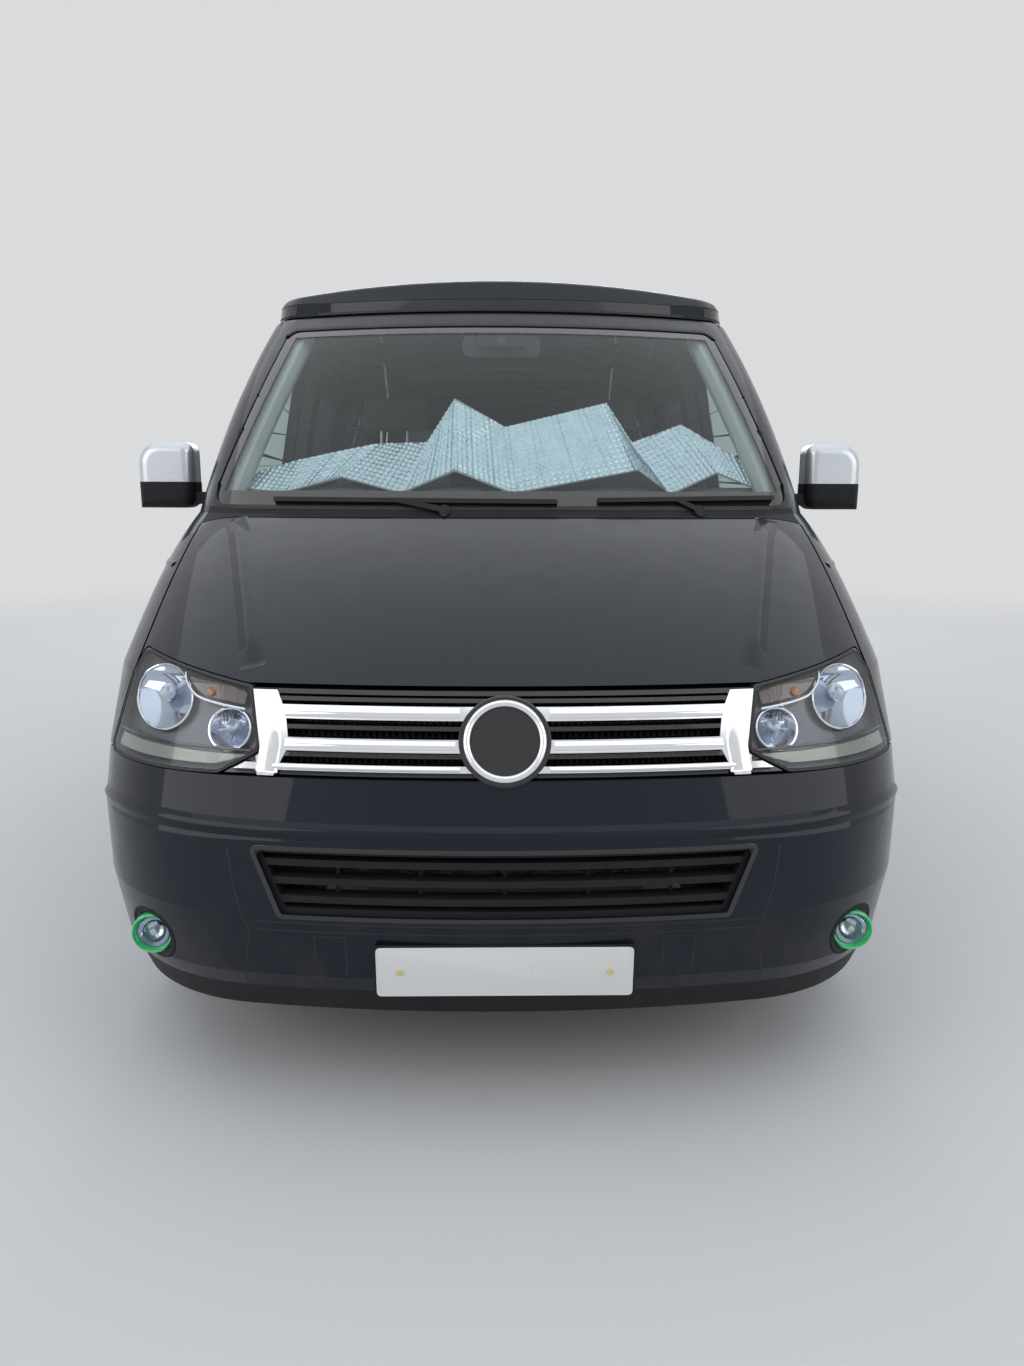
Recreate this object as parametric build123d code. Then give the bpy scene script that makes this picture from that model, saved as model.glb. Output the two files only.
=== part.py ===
from build123d import *
import math
import os

os.makedirs("parts", exist_ok=True)

# Overall sizes, in millimetres. X is across, Y runs from nose to tail, Z is up.
LENGTH = 4892.0
FRONT_AXLE = 894.0
WHEELBASE = 3000.0
TRACK = 1628.0
BODY_HALF = 946.0
LIP_STAND = 6.0
ROOF_Z = 1885.0
ROOF_SKIN = 37.0
ROOF_EDGE_R = 48.0
WALL = 40.0
FRONT_CENTRE_S = 3400.0
REAR_CENTRE_S = -900.0

# Shut lines and clearances
GAP = 6.0
HINGE_GAP = 7.5
FIT = 0.05
GLASS_FIT = 0.3
GLASS_DEPTH = 4.0
GLASS_T = 5.0
MOVE = 6.0

# Wheels and tyres
TYRE_R = 345.0
TYRE_W = 235.0
RIM_R = 216.0
RIM_W = 190.0
RIM_WALL = 9.0
HUB_R = 72.0
DISC_T = 22.0
DISC_IN = 46.0
SHAFT_R = 30.0
DISC_R = 165.0
SPOKES = 5
ARCH_R = 387.0
LIP_W = 16.0
LINER_T = 5.0

# Side openings
SILL_Z = 250.0
DOOR_BASE_Z = 395.0
DOOR_TOP_Z = 1800.0
DOOR_FRONT_S = 1314.0
DOOR_REAR_S = 2299.0
SLIDER_REAR_S = 3372.0
HINGE_BACK = 40.0
HINGE_X = 926.0
WINDOW_BASE_Z = 1190.0
WINDOW_TOP_Z = 1738.0
WINDOW_R = 45.0
CANT_Z = 1840.0
FLOOR_Z = 520.0
FLOOR_T = 36.0
RAIL_Z = 430.0
ENGINE_Z = 530.0

# Front end
BONNET_BASE_Z = 911.0
BONNET_HALF_FRONT = 842.0
BONNET_HALF_REAR = 848.0
BONNET_BACK_S = 836.0
BONNET_CORNER_S = 972.0
SCREEN_BASE_Z = 1264.0
SCREEN_TOP_Z = 1836.0
SCREEN_HALF_BASE = 848.0
SCREEN_HALF_TOP = 706.0
BUMPER_TOP_Z = 742.0
GRILLE_DEPTH = 14.0
LIP_TOP_Z = 292.0
FOG_X = 755.0
FOG_Z = 376.0
FOG_R = 46.0
FOG_S = 196.0
BADGE_Z = 812.0
BADGE_R = 83.0
BADGE_W = 12.0
BADGE_S = 98.0
BADGE_TILT = 22.0
BADGE_STAND = 15.0
LAMP_DEPTH = 110.0
BONNET_AXIS_S = 1040.0
BONNET_AXIS_Z = 1215.0
BONNET_ARM_DROP = 84.0
BONNET_HINGE_X = 780.0
SCUTTLE_Z = 1170.0
SCUTTLE_TOP_Z = 1187.0

# Rear end
GATE_HALF = 775.0
GATE_HALF_TOP = 706.0
GATE_BASE_Z = 566.0
GATE_CUT_S = 4640.0
REAR_LAMP_BASE_Z = 850.0
REAR_LAMP_TOP_Z = 1250.0
REAR_LAMP_S = 4735.0
REAR_BUMPER_TOP_Z = 556.0
REAR_BUMPER_BASE_Z = 290.0

# Raising roof
LID_FRONT_S = 1562.0
LID_REAR_S = 4512.0
LID_HALF = 780.0
LID_BASE_Z = 1891.0
LID_TOP_Z = 1998.0
LID_CROWN_R = 7000.0
LID_T = 20.0
WELL_FRONT_S = 1960.0
WELL_REAR_S = 4060.0
WELL_HALF = 500.0

REAR_AXLE = FRONT_AXLE + WHEELBASE
WHEEL_X = TRACK / 2
LAMP = [(530, 906), (832, 952), (889, 738), (585, 744), (500, 786)]
LOWER_GRILLE = [(-510, 604), (510, 604), (452, 470), (-452, 470)]

# Body sections: height, nose setback, half width, front corner, tail, rear corner
LOW_ROWS = [
    (230, 75, 878, 400, 4790, 90),
    (330, 22, 910, 440, 4835, 100),
    (470, 0, 932, 455, 4850, 110),
    (620, 18, BODY_HALF - 1, 460, 4852, 110),
    (742, 62, BODY_HALF, 470, 4852, 110),
    (905, 165, BODY_HALF - 1, 480, 4850, 110),
]
BONNET_ROWS = [
    (905, 165, BODY_HALF - 1, 480, 4850, 110),
    (1020, 365, BODY_HALF - 5, 430, 4848, 110),
    (1139, 600, BODY_HALF - 16, 350, 4845, 110),
    (1247, 860, BODY_HALF - 34, 270, 4838, 110),
]
CABIN_ROWS = [
    (1247, 860, BODY_HALF - 34, 270, 4838, 110),
    (1566, 1172, BODY_HALF - 86, 190, 4800, 110),
    (ROOF_Z, 1545, BODY_HALF - 161, 150, 4735, 110),
]
LID_ROWS = [
    (LID_BASE_Z, LID_FRONT_S, LID_HALF, 150, LID_REAR_S, 80),
    (LID_BASE_Z + 45, LID_FRONT_S + 12, LID_HALF - 4, 150, LID_REAR_S - 4, 80),
    (LID_TOP_Z + 8, LID_FRONT_S + 60, LID_HALF - 34, 140, LID_REAR_S - 24, 80),
]


def at(s):
    return s - LENGTH / 2


def outline(z, nose, half, corner, tail, rear, inset=0.0):
    """One level of the body: bowed nose, round corners, straight sides, bowed tail."""
    h = half - inset
    front_r = FRONT_CENTRE_S - nose - inset
    rear_r = tail - REAR_CENTRE_S - inset
    r = max(corner - inset, 8.0)
    q = max(rear - inset, 8.0)
    fx = h - r
    fy = at(FRONT_CENTRE_S) - math.sqrt((front_r - r) ** 2 - fx**2)
    bx = h - q
    by = at(REAR_CENTRE_S) + math.sqrt((rear_r - q) ** 2 - bx**2)
    k = front_r / (front_r - r)
    front_end = (fx * k, at(FRONT_CENTRE_S) + (fy - at(FRONT_CENTRE_S)) * k)
    k = rear_r / (rear_r - q)
    rear_end = (bx * k, at(REAR_CENTRE_S) + (by - at(REAR_CENTRE_S)) * k)

    def middle(cx, cy, a, b, radius):
        v = Vector(a[0] + b[0] - 2 * cx, a[1] + b[1] - 2 * cy).normalized() * radius
        return (cx + v.X, cy + v.Y)

    front_side = (h, fy)
    rear_side = (h, by)
    front_mid = middle(fx, fy, front_end, front_side, r)
    rear_mid = middle(bx, by, rear_end, rear_side, q)

    def p(point, side=1):
        return (side * point[0], point[1], z)

    return Wire(
        [
            Edge.make_three_point_arc(
                p(front_end, -1), (0, at(FRONT_CENTRE_S) - front_r, z), p(front_end)
            ),
            Edge.make_three_point_arc(p(front_end), p(front_mid), p(front_side)),
            Edge.make_line(p(front_side), p(rear_side)),
            Edge.make_three_point_arc(p(rear_side), p(rear_mid), p(rear_end)),
            Edge.make_three_point_arc(
                p(rear_end), (0, at(REAR_CENTRE_S) + rear_r, z), p(rear_end, -1)
            ),
            Edge.make_three_point_arc(p(rear_end, -1), p(rear_mid, -1), p(rear_side, -1)),
            Edge.make_line(p(rear_side, -1), p(front_side, -1)),
            Edge.make_three_point_arc(p(front_side, -1), p(front_mid, -1), p(front_end, -1)),
        ]
    )


def form(rows, inset, ruled=False):
    """A loft through body sections, all at one depth below the skin."""
    return Solid.make_loft([outline(*row, inset=inset) for row in rows], ruled=ruled)


def envelope(inset):
    """The whole body form at one depth below its skin."""
    body = form(LOW_ROWS, inset, True) + form(BONNET_ROWS, inset) + form(CABIN_ROWS, inset)
    if inset <= 0:
        top = [e for e in body.edges() if e.center().Z > ROOF_Z - 1]
        return fillet(top, ROOF_EDGE_R)
    lid = min(inset, ROOF_SKIN)
    return body - block(-1200, 1200, 0, LENGTH, ROOF_Z - lid, ROOF_Z + 100)


def nose(inset):
    """The body form below the windscreen only."""
    return form(LOW_ROWS, inset, True) + form(BONNET_ROWS, inset)


def block(x0, x1, s0, s1, z0, z1):
    box = Box(abs(x1 - x0), s1 - s0, z1 - z0)
    return Pos((x0 + x1) / 2, at((s0 + s1) / 2), (z0 + z1) / 2) * box


def rod_x(x0, x1, s, z, r):
    return Pos((x0 + x1) / 2, at(s), z) * Rot(0, 90, 0) * Cylinder(r, abs(x1 - x0))


def rod_y(x, s0, s1, z, r):
    return Pos(x, at((s0 + s1) / 2), z) * Rot(90, 0, 0) * Cylinder(r, s1 - s0)


def rod_z(x, s, z0, z1, r):
    return Pos(x, at(s), (z0 + z1) / 2) * Cylinder(r, z1 - z0)


def prism(points, direction, radius=0.0, grow=0.0):
    """A flat outline with round corners, grown or shrunk all round, drawn out."""
    face = Face(Wire.make_polygon(points, close=True))
    if radius > 0:
        face = face.fillet_2d(radius, face.vertices())
    if grow:
        face = offset(face, grow, kind=Kind.INTERSECTION)
    if isinstance(face, Sketch):
        face = face.faces()[0]
    return Solid.extrude(face, Vector(*direction))


def side_prism(points, x0, x1, radius=0.0, grow=0.0):
    """Points are (s, z)."""
    return prism([(x0, at(s), z) for s, z in points], (x1 - x0, 0, 0), radius, grow)


def front_prism(points, s0, s1, radius=0.0, grow=0.0):
    """Points are (x, z)."""
    return prism([(x, at(s0), z) for x, z in points], (0, s1 - s0, 0), radius, grow)


def top_prism(points, z0, z1, radius=0.0, grow=0.0):
    """Points are (x, s)."""
    return prism([(x, at(s), z0) for x, s in points], (0, 0, z1 - z0), radius, grow)


def mirrored(points):
    return [(-x, z) for x, z in reversed(points)]


def one(shape):
    """The largest solid of a cut, so that no sliver stays with a panel."""
    return max(shape.solids(), key=lambda s: s.volume)


def slab(outer, inner, zone):
    """The layer between two depths, inside one zone."""
    return (zone & outer) - inner


OUTER = envelope(0.0)
INNER = envelope(WALL)
SKIN = OUTER - INNER
GLASS_OUT = envelope(GLASS_DEPTH)
GLASS_IN = envelope(GLASS_DEPTH + GLASS_T)


# Depths of the inner layers below the skin
FRAME_DEPTH = WALL + MOVE
FRAME_T = 44.0
CARRIER_T = 18.0
LAMP_WALL = 4.0

FRAME_OUT = envelope(FRAME_DEPTH)
FRAME_IN = envelope(FRAME_DEPTH + FRAME_T)
LAMP_BACK = nose(LAMP_DEPTH)
LAMP_CAVITY = nose(LAMP_DEPTH - LAMP_WALL)
CARRIER_IN = nose(LAMP_DEPTH + CARRIER_T)
NOSE = nose(0.0)
NOSE_IN = nose(WALL)
UNDER_SKIN = nose(GLASS_DEPTH)
DEEP_GRILLE = nose(WALL + 12.0)

# Outlines seen from the side, as (s, z), from the front, as (x, z), and from above, as (x, s)
DOOR = [
    (DOOR_FRONT_S, DOOR_BASE_Z),
    (DOOR_FRONT_S, 1411.0),
    (1697.0, DOOR_TOP_Z),
    (DOOR_REAR_S, DOOR_TOP_Z),
    (DOOR_REAR_S, DOOR_BASE_Z),
]
DOOR_HOLE = [(DOOR_FRONT_S - (HINGE_GAP - GAP), DOOR_BASE_Z)] + [
    (DOOR_FRONT_S - (HINGE_GAP - GAP), 1411.0)
] + DOOR[2:]
SLIDER = [
    (DOOR_REAR_S, DOOR_BASE_Z),
    (DOOR_REAR_S, DOOR_TOP_Z),
    (SLIDER_REAR_S, DOOR_TOP_Z),
    (SLIDER_REAR_S, DOOR_BASE_Z),
]
DOOR_WINDOW = [
    (1425.0, WINDOW_BASE_Z + 14),
    (1425.0, 1436.0),
    (1725.0, WINDOW_TOP_Z),
    (DOOR_REAR_S - 64, WINDOW_TOP_Z),
    (DOOR_REAR_S - 64, WINDOW_BASE_Z),
]
MIDDLE_WINDOW = [
    (DOOR_REAR_S + 88, WINDOW_BASE_Z),
    (DOOR_REAR_S + 88, WINDOW_TOP_Z),
    (SLIDER_REAR_S - 88, WINDOW_TOP_Z),
    (SLIDER_REAR_S - 88, WINDOW_BASE_Z),
]
QUARTER_WINDOW = [
    (SLIDER_REAR_S + 80, WINDOW_BASE_Z),
    (SLIDER_REAR_S + 80, WINDOW_TOP_Z),
    (4560.0, WINDOW_TOP_Z),
    (4618.0, WINDOW_BASE_Z),
]
GATE = [
    (-GATE_HALF, GATE_BASE_Z),
    (GATE_HALF, GATE_BASE_Z),
    (GATE_HALF, 1240.0),
    (GATE_HALF_TOP, ROOF_Z),
    (GATE_HALF_TOP, ROOF_Z + 90),
    (-GATE_HALF_TOP, ROOF_Z + 90),
    (-GATE_HALF_TOP, ROOF_Z),
    (-GATE_HALF, 1240.0),
]
GATE_WINDOW = [(-642, WINDOW_BASE_Z), (642, WINDOW_BASE_Z), (598, 1708), (-598, 1708)]
SCREEN = [
    (-SCREEN_HALF_BASE, SCREEN_BASE_Z),
    (SCREEN_HALF_BASE, SCREEN_BASE_Z),
    (SCREEN_HALF_TOP, SCREEN_TOP_Z),
    (-SCREEN_HALF_TOP, SCREEN_TOP_Z),
]
BUMPER = [
    (-60.0, 200.0),
    (-60.0, BUMPER_TOP_Z),
    (360.0, BUMPER_TOP_Z),
    (640.0, 668.0),
    (760.0, 500.0),
    (760.0, 200.0),
]
GRILLE_ZONE = [
    (-585, BUMPER_TOP_Z),
    (585, BUMPER_TOP_Z),
    (502, 786),
    (530, BONNET_BASE_Z - GAP),
    (-530, BONNET_BASE_Z - GAP),
    (-502, 786),
]


def bonnet_plan(grow, z0, z1):
    """The bonnet from above; its back edge is an arc along the windscreen's foot."""
    front = BONNET_HALF_FRONT + grow
    rear = BONNET_HALF_REAR + grow
    corner_s = BONNET_CORNER_S + grow

    def p(x, s):
        return (x, at(s), z0)

    wire = Wire(
        [
            Edge.make_line(p(-front, -80), p(front, -80)),
            Edge.make_line(p(front, -80), p(front, 330)),
            Edge.make_line(p(front, 330), p(rear, corner_s)),
            Edge.make_three_point_arc(p(rear, corner_s), p(0, BONNET_BACK_S + grow), p(-rear, corner_s)),
            Edge.make_line(p(-rear, corner_s), p(-front, 330)),
            Edge.make_line(p(-front, 330), p(-front, -80)),
        ]
    )
    return Solid.extrude(Face(wire), Vector(0, 0, z1 - z0))


def lamp_prism(side, grow):
    points = LAMP if side > 0 else mirrored(LAMP)
    return front_prism(points, -60, 500, 12.0, grow)


def gate_prism(grow):
    return front_prism(GATE, GATE_CUT_S - grow, LENGTH + 60, 26.0, grow)


def arch(side, centre_s, radius):
    return rod_x(side * 560, side * 1050, centre_s, TYRE_R, radius)


LIP_FORM = Solid.make_loft([outline(*row, inset=-LIP_STAND) for row in LOW_ROWS], ruled=True)


def arch_lip(side, centre_s):
    ring = arch(side, centre_s, ARCH_R + LIP_W) - arch(side, centre_s, ARCH_R)
    ring = ring & block(side * 860, side * 1050, centre_s - 480, centre_s + 480, SILL_Z, 900)
    return ring & (LIP_FORM - INNER)


def window_hole(points, side):
    return side_prism(points, side * 600, side * 1100, WINDOW_R)


def window_pane(points, side):
    return one(slab(GLASS_OUT, GLASS_IN, side_prism(points, side * 600, side * 1100, WINDOW_R, -GLASS_FIT)))


def hinge_set(place, direction, centre, sleeve, pin_r, sleeve_r):
    """A pin with an end lug at each side, and the sleeve that turns on it."""
    fixed = None
    moving = None
    half = sleeve / 2
    for start, end, radius in (
        (-half - 14, half + 14, pin_r),
        (-half - 14, -half - 2, sleeve_r),
        (half + 2, half + 14, sleeve_r),
    ):
        piece = place(start + centre, end + centre, radius)
        fixed = piece if fixed is None else fixed + piece
    moving = place(centre - half, centre + half, sleeve_r)
    moving = moving - place(centre - half - 1, centre + half + 1, pin_r + FIT)
    return fixed, moving


NODES = {}


def keep(name, shape):
    NODES[name] = shape


# Door hinges
DOOR_HINGES_Z = (600.0, 940.0)
HINGE_PIN_R = 4.5
HINGE_R = 9.0
HINGE_LEN = 50.0
HINGE_S = DOOR_FRONT_S + HINGE_BACK
# Room in the hinge post for the door's front edge, which turns inwards: heights and radius
SWING_ROOM = ((DOOR_BASE_Z - MOVE - 3, 560.0, 60.0), (560.0, 1100.0, 57.0), (1100.0, 1300.0, 74.0))


def door_hinge(side, z):
    def place(z0, z1, r):
        return rod_z(side * HINGE_X, HINGE_S, z0, z1, r)

    return hinge_set(place, None, z, HINGE_LEN, HINGE_PIN_R, HINGE_R)


def side_panel():
    """Pillars, roof rail, sill and rear quarter of the left side, before its own cuts."""
    shape = SKIN & block(0, 1200, 700, LENGTH, SILL_Z, CANT_Z)
    shape = shape.cut(
        block(0, 1200, 600, DOOR_FRONT_S - HINGE_GAP, 0, 1247),
        block(0, SCREEN_HALF_BASE, 600, 1400, 1240, SCREEN_BASE_Z),
        front_prism(SCREEN, 700, 2300, 50.0),
        side_prism(DOOR_HOLE, 600, 1100, 28.0, GAP / 2),
        window_hole(QUARTER_WINDOW, 1),
        arch(1, REAR_AXLE, ARCH_R),
        gate_prism(GAP / 2),
        block(GATE_HALF - 20, 1000, REAR_LAMP_S, 5000, REAR_LAMP_BASE_Z, REAR_LAMP_TOP_Z),
        block(0, 1000, 4486, 5000, 0, REAR_BUMPER_TOP_Z),
    )
    return one(shape) + arch_lip(1, REAR_AXLE)


def sliding_side(panel):
    shape = panel - side_prism(SLIDER, 600, 1100, 28.0, GAP / 2)
    return one(shape - block(930, 970, SLIDER_REAR_S + 60, 4640, 1078, 1094))


def fixed_side(panel):
    return one(panel - window_hole(MIDDLE_WINDOW, -1))


def body_frame(side):
    """Sill, hinge post, middle post and roof rail behind the doors."""
    sill = block(600, 1200, 1330, 3480, SILL_Z, DOOR_BASE_Z - MOVE - 3)
    shape = slab(INNER, FRAME_IN, sill)
    rail = block(600, 1200, 1760, 4600, DOOR_TOP_Z + MOVE + 3, CANT_Z)
    shape = shape + slab(INNER, FRAME_IN, rail)
    for s0, s1, z1 in ((1330, 3480, FLOOR_Z), (DOOR_REAR_S - 60, DOOR_REAR_S + 60, CANT_Z)):
        shape = shape + slab(FRAME_OUT, FRAME_IN, block(600, 1200, s0, s1, SILL_Z + 60, z1))
    post = slab(FRAME_OUT, FRAME_IN, block(600, 1200, 1300, HINGE_S + 80, SILL_Z + 60, 1240))
    post = post - arch(side, FRONT_AXLE, ARCH_R + 22)
    shape = shape + post
    for z0, z1, radius in SWING_ROOM:
        shape = shape - rod_z(side * HINGE_X, HINGE_S, z0, z1, radius)
    for z in DOOR_HINGES_Z:
        fixed, _ = door_hinge(side, z)
        for end in (-HINGE_LEN / 2 - 8, HINGE_LEN / 2 + 8):
            arm = block(
                side * (HINGE_X - 68), side * HINGE_X, HINGE_S - 3, HINGE_S + 9, z + end - 6, z + end + 6
            )
            fixed = fixed + arm
        shape = shape + fixed
    return one(shape)


def hinge_pocket(side):
    """Room in a door's edge for its hinge lugs and arms."""
    cut = None
    for z in DOOR_HINGES_Z:
        reach = HINGE_LEN / 2 + 14 + 5
        piece = rod_z(side * HINGE_X, HINGE_S, z - reach, z + reach, HINGE_R + 3)
        slot = block(
            side * (HINGE_X - 80), side * HINGE_X, HINGE_S - 62, HINGE_S + HINGE_R + 6, z - reach, z + reach
        )
        piece = piece + slot
        cut = piece if cut is None else cut + piece
    return cut


def front_door(side):
    shape = SKIN & side_prism(DOOR, side * 600, side * 1100, 28.0, -GAP / 2)
    shape = shape - window_hole(DOOR_WINDOW, side)
    shape = one(shape) - hinge_pocket(side)
    shape = one(shape)
    for z in DOOR_HINGES_Z:
        _, sleeve = door_hinge(side, z)
        arm = block(
            side * (HINGE_X - 6), side * (HINGE_X + 6), HINGE_S + HINGE_R - 4, HINGE_S + 30, z - 20, z + 20
        )
        arm = arm & OUTER
        shape = shape + sleeve + arm
    shape = shape - block(side * 931, side * 990, 2118, 2262, 1046, 1104)
    handle = block(side * 925, side * 958, 2128, 2252, 1064, 1086)
    handle = fillet(handle.edges().filter_by(Axis.Y), 8)
    return one(shape + handle)


def door_mirror(side):
    """A rounded housing, rounder at its outer top, on a short foot at the door's front corner."""
    housing = block(side * 975, side * 1150, 1336, 1424, 1256, 1462)
    corners = housing.edges().filter_by(Axis.Y).sort_by(lambda e: side * e.center().X + e.center().Z)
    housing = fillet(corners[-1], 74)
    corners = housing.edges().filter_by(Axis.Y).sort_by(lambda e: e.length)[-3:]
    housing = fillet(corners, 36)
    housing = fillet(housing.faces().sort_by(Axis.Y)[0].edges(), 34)
    foot = block(side * 880, side * 1000, 1360, 1408, 1268, 1304)
    foot = foot - OUTER
    glass = block(side * 990, side * 1135, 1418, 1430, 1272, 1446)
    return one(housing + foot - glass)


def front_wing(side):
    bumper = side_prism(BUMPER, 0, side * 1100, 0, GAP / 4)
    shape = SKIN & block(side * 540, side * 1200, 100, DOOR_FRONT_S - HINGE_GAP, SILL_Z, 1247)
    shape = shape.cut(
        bonnet_plan(GAP / 2, BONNET_BASE_Z - 80, 1300),
        lamp_prism(side, GAP / 2),
        bumper,
        arch(side, FRONT_AXLE, ARCH_R),
        block(0, side * SCREEN_HALF_BASE, 900, 1400, 1100, 1260),
    )
    return one(one(shape) + (arch_lip(side, FRONT_AXLE) - bumper))


def front_bumper():
    zone = side_prism(BUMPER, -1100, 1100, 0, -GAP / 4)
    zone = zone & block(-1100, 1100, -60, 700, LIP_TOP_Z, BUMPER_TOP_Z - 2)
    tools = [front_prism(LOWER_GRILLE, -60, 300, 20.0), badge_disc(BADGE_R + 2, 60, 80)]
    for side in (1, -1):
        tools.append(lamp_prism(side, GAP / 2))
        tools.append(arch(side, FRONT_AXLE, ARCH_R))
        tools.append(rod_y(side * FOG_X, 0, 420, FOG_Z, FOG_R + 16))
    shape = one((zone & SKIN).cut(*tools))
    for side in (1, -1):
        shape = shape + (arch_lip(side, FRONT_AXLE) & zone)
    return one(shape)


def front_lip():
    shape = SKIN & block(-1100, 1100, -60, 560, 200, LIP_TOP_Z)
    for side in (1, -1):
        shape = shape - arch(side, FRONT_AXLE, ARCH_R)
    return one(shape)


GRILLE_SLATS_Z = (500.0, 537.0, 574.0)
GRILLE_SLAT_T = 14.0
GRILLE_POSTS_X = (-340.0, -170.0, 0.0, 170.0, 340.0)


def lower_grille():
    """Frame, slats and posts in one layer of the bumper's form."""
    zone = front_prism(LOWER_GRILLE, -60, 300, 20.0, -GLASS_FIT)
    bars = zone - front_prism(LOWER_GRILLE, -80, 320, 12.0, -12)
    half = GRILLE_SLAT_T / 2
    slats = [zone & block(-540, 540, -60, 300, z - half, z + half) for z in GRILLE_SLATS_Z]
    back = form(LOW_ROWS, WALL + 12.0, True)
    bars = slab(form(LOW_ROWS, GRILLE_DEPTH, True), back, bars.fuse(*slats))
    posts = [zone & block(x - 4, x + 4, -60, 300, 400, 700) for x in GRILLE_POSTS_X]
    posts = [slab(form(LOW_ROWS, WALL, True), back, post) for post in posts]
    return one(bars.fuse(*posts))


def fog_lamp(side):
    """A round unit in the bumper's hole: bezel, cone and lens."""
    body = rod_y(side * FOG_X, 0, 420, FOG_Z, FOG_R + 16 - GLASS_FIT)
    body = body - rod_y(side * FOG_X, 0, FOG_S, FOG_Z, FOG_R)
    return one(slab(UNDER_SKIN, form(LOW_ROWS, WALL + 50.0, True), body))


CHROME_BARS = ((862.0, 13.0), (803.0, 12.0), (762.0, 6.0))
CHROME_STAND = 8.0
UPRIGHT = [(500, 740), (530, 902), (474, 902), (452, 860), (440, 800), (470, 740)]
UPPER_SLATS_Z = (744.0, 782.0, 832.0, 884.0)


def badge_disc(radius, back, front):
    """A disc on the badge's leaning axis, from behind its centre to in front."""
    place = Pos(0, at(BADGE_S), BADGE_Z) * Rot(90 - BADGE_TILT, 0, 0)
    return place * Pos(0, 0, (front - back) / 2) * Cylinder(radius, front + back)


def grille_zone(grow):
    return front_prism(GRILLE_ZONE, -60, 420, 0, grow)


def upper_grille():
    """Black slatted panel behind the bright bars, with the blank round dish."""
    zone = grille_zone(-GAP / 2)
    bars = front_prism(GRILLE_ZONE, -60, 420, 0, -GAP / 2)
    bars = bars - front_prism(GRILLE_ZONE, -80, 440, 0, -GAP / 2 - 9)
    slats = [zone & block(-520, 520, -60, 420, z - 4, z + 4) for z in UPPER_SLATS_Z]
    bars = bars.fuse(*slats)
    shape = slab(UNDER_SKIN, DEEP_GRILLE, bars)
    back = slab(NOSE_IN, DEEP_GRILLE, zone)
    dish = badge_disc(BADGE_R - BADGE_W - GLASS_FIT, 40, BADGE_STAND - 8) - DEEP_GRILLE
    clips = [
        slab(NOSE_IN, LAMP_BACK, block(side * 470, side * 492, -60, 420, 790, 815)) for side in (1, -1)
    ]
    return one(shape.fuse(back, dish, *clips))


def grille_chrome():
    """Bright bars and side uprights, and the ring round the dish."""
    zone = grille_zone(-GAP / 2 - 0.5)
    bars = [zone & block(-560, 560, -80, 420, z - half, z + half) for z, half in CHROME_BARS]
    for side in (1, -1):
        points = UPRIGHT if side > 0 else mirrored(UPRIGHT)
        bars.append(zone & front_prism(points, -80, 420))
    bars = bars[0].fuse(*bars[1:]) - badge_disc(BADGE_R - 2, 80, 60)
    shape = slab(nose(-CHROME_STAND), UNDER_SKIN, bars)
    ring = badge_disc(BADGE_R, 40, BADGE_STAND) - badge_disc(BADGE_R - BADGE_W, 60, 60)
    return one(shape + (ring - UNDER_SKIN))


def bonnet_hinge(side):
    def place(x0, x1, r):
        return rod_x(side * x0, side * x1, BONNET_AXIS_S, BONNET_AXIS_Z, r)

    return hinge_set(place, None, BONNET_HINGE_X, 30.0, HINGE_PIN_R, HINGE_R)


def bonnet():
    """The panel with a bent arm to each hinge, which swings clear of the cowl."""
    shape = SKIN & bonnet_plan(-GAP / 2, BONNET_BASE_Z, 1290)
    shape = one(shape.cut(lamp_prism(1, GAP / 2), lamp_prism(-1, GAP / 2)))
    s = BONNET_AXIS_S
    z = BONNET_AXIS_Z
    for side in (1, -1):
        _, sleeve = bonnet_hinge(side)
        x0 = side * (BONNET_HINGE_X - 12)
        x1 = side * (BONNET_HINGE_X + 12)
        low = z - BONNET_ARM_DROP
        arm = block(x0, x1, s - 8, s + 8, low - 8, z) - rod_x(x0, x1, s, z, HINGE_PIN_R + FIT)
        arm = arm + block(x0, x1, s - 148, s + 8, low - 8, low + 8)
        arm = arm + block(x0, x1, s - 148, s - 132, low - 8, 1202)
        shape = shape + sleeve + arm
    return one(shape)


def cowl():
    shape = SKIN & block(-SCREEN_HALF_BASE, SCREEN_HALF_BASE, 600, 1400, 1120, SCREEN_BASE_Z)
    shape = shape - bonnet_plan(HINGE_GAP, 1000, 1300)
    return one(shape - front_prism(SCREEN, 700, 2300, 50.0))


def headlamp(side):
    lens = one(slab(NOSE, UNDER_SKIN, lamp_prism(side, -0.5)))
    tray = slab(UNDER_SKIN, LAMP_BACK, lamp_prism(side, -0.5))
    tray = tray - slab(NOSE, LAMP_CAVITY, lamp_prism(side, -0.5 - LAMP_WALL))
    return lens, one(tray)


def front_carrier():
    shape = slab(LAMP_BACK, CARRIER_IN, block(-870, 870, -60, 520, 610, 890))
    shape = shape - block(-430, 430, -60, 400, 650, 850)
    for side in (1, -1):
        rail = block(side * 400, side * 470, 180, 545, RAIL_Z, FLOOR_Z - FLOOR_T) & LAMP_BACK
        riser = block(side * 400, side * 470, 130, 300, 430, 640) & LAMP_BACK
        shape = shape + rail + riser
    return shape


def windscreen():
    return one(slab(GLASS_OUT, GLASS_IN, front_prism(SCREEN, 700, 2300, 50.0, -GLASS_FIT)))


# Wipers: pivot x, blade's two ends in x, and their two heights
WIPERS = ((-158.0, -640.0, 150.0, 1281.0, 1276.0), (548.0, 262.0, 782.0, 1280.0, 1288.0))
WIPER_STAND = 14.0


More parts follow.
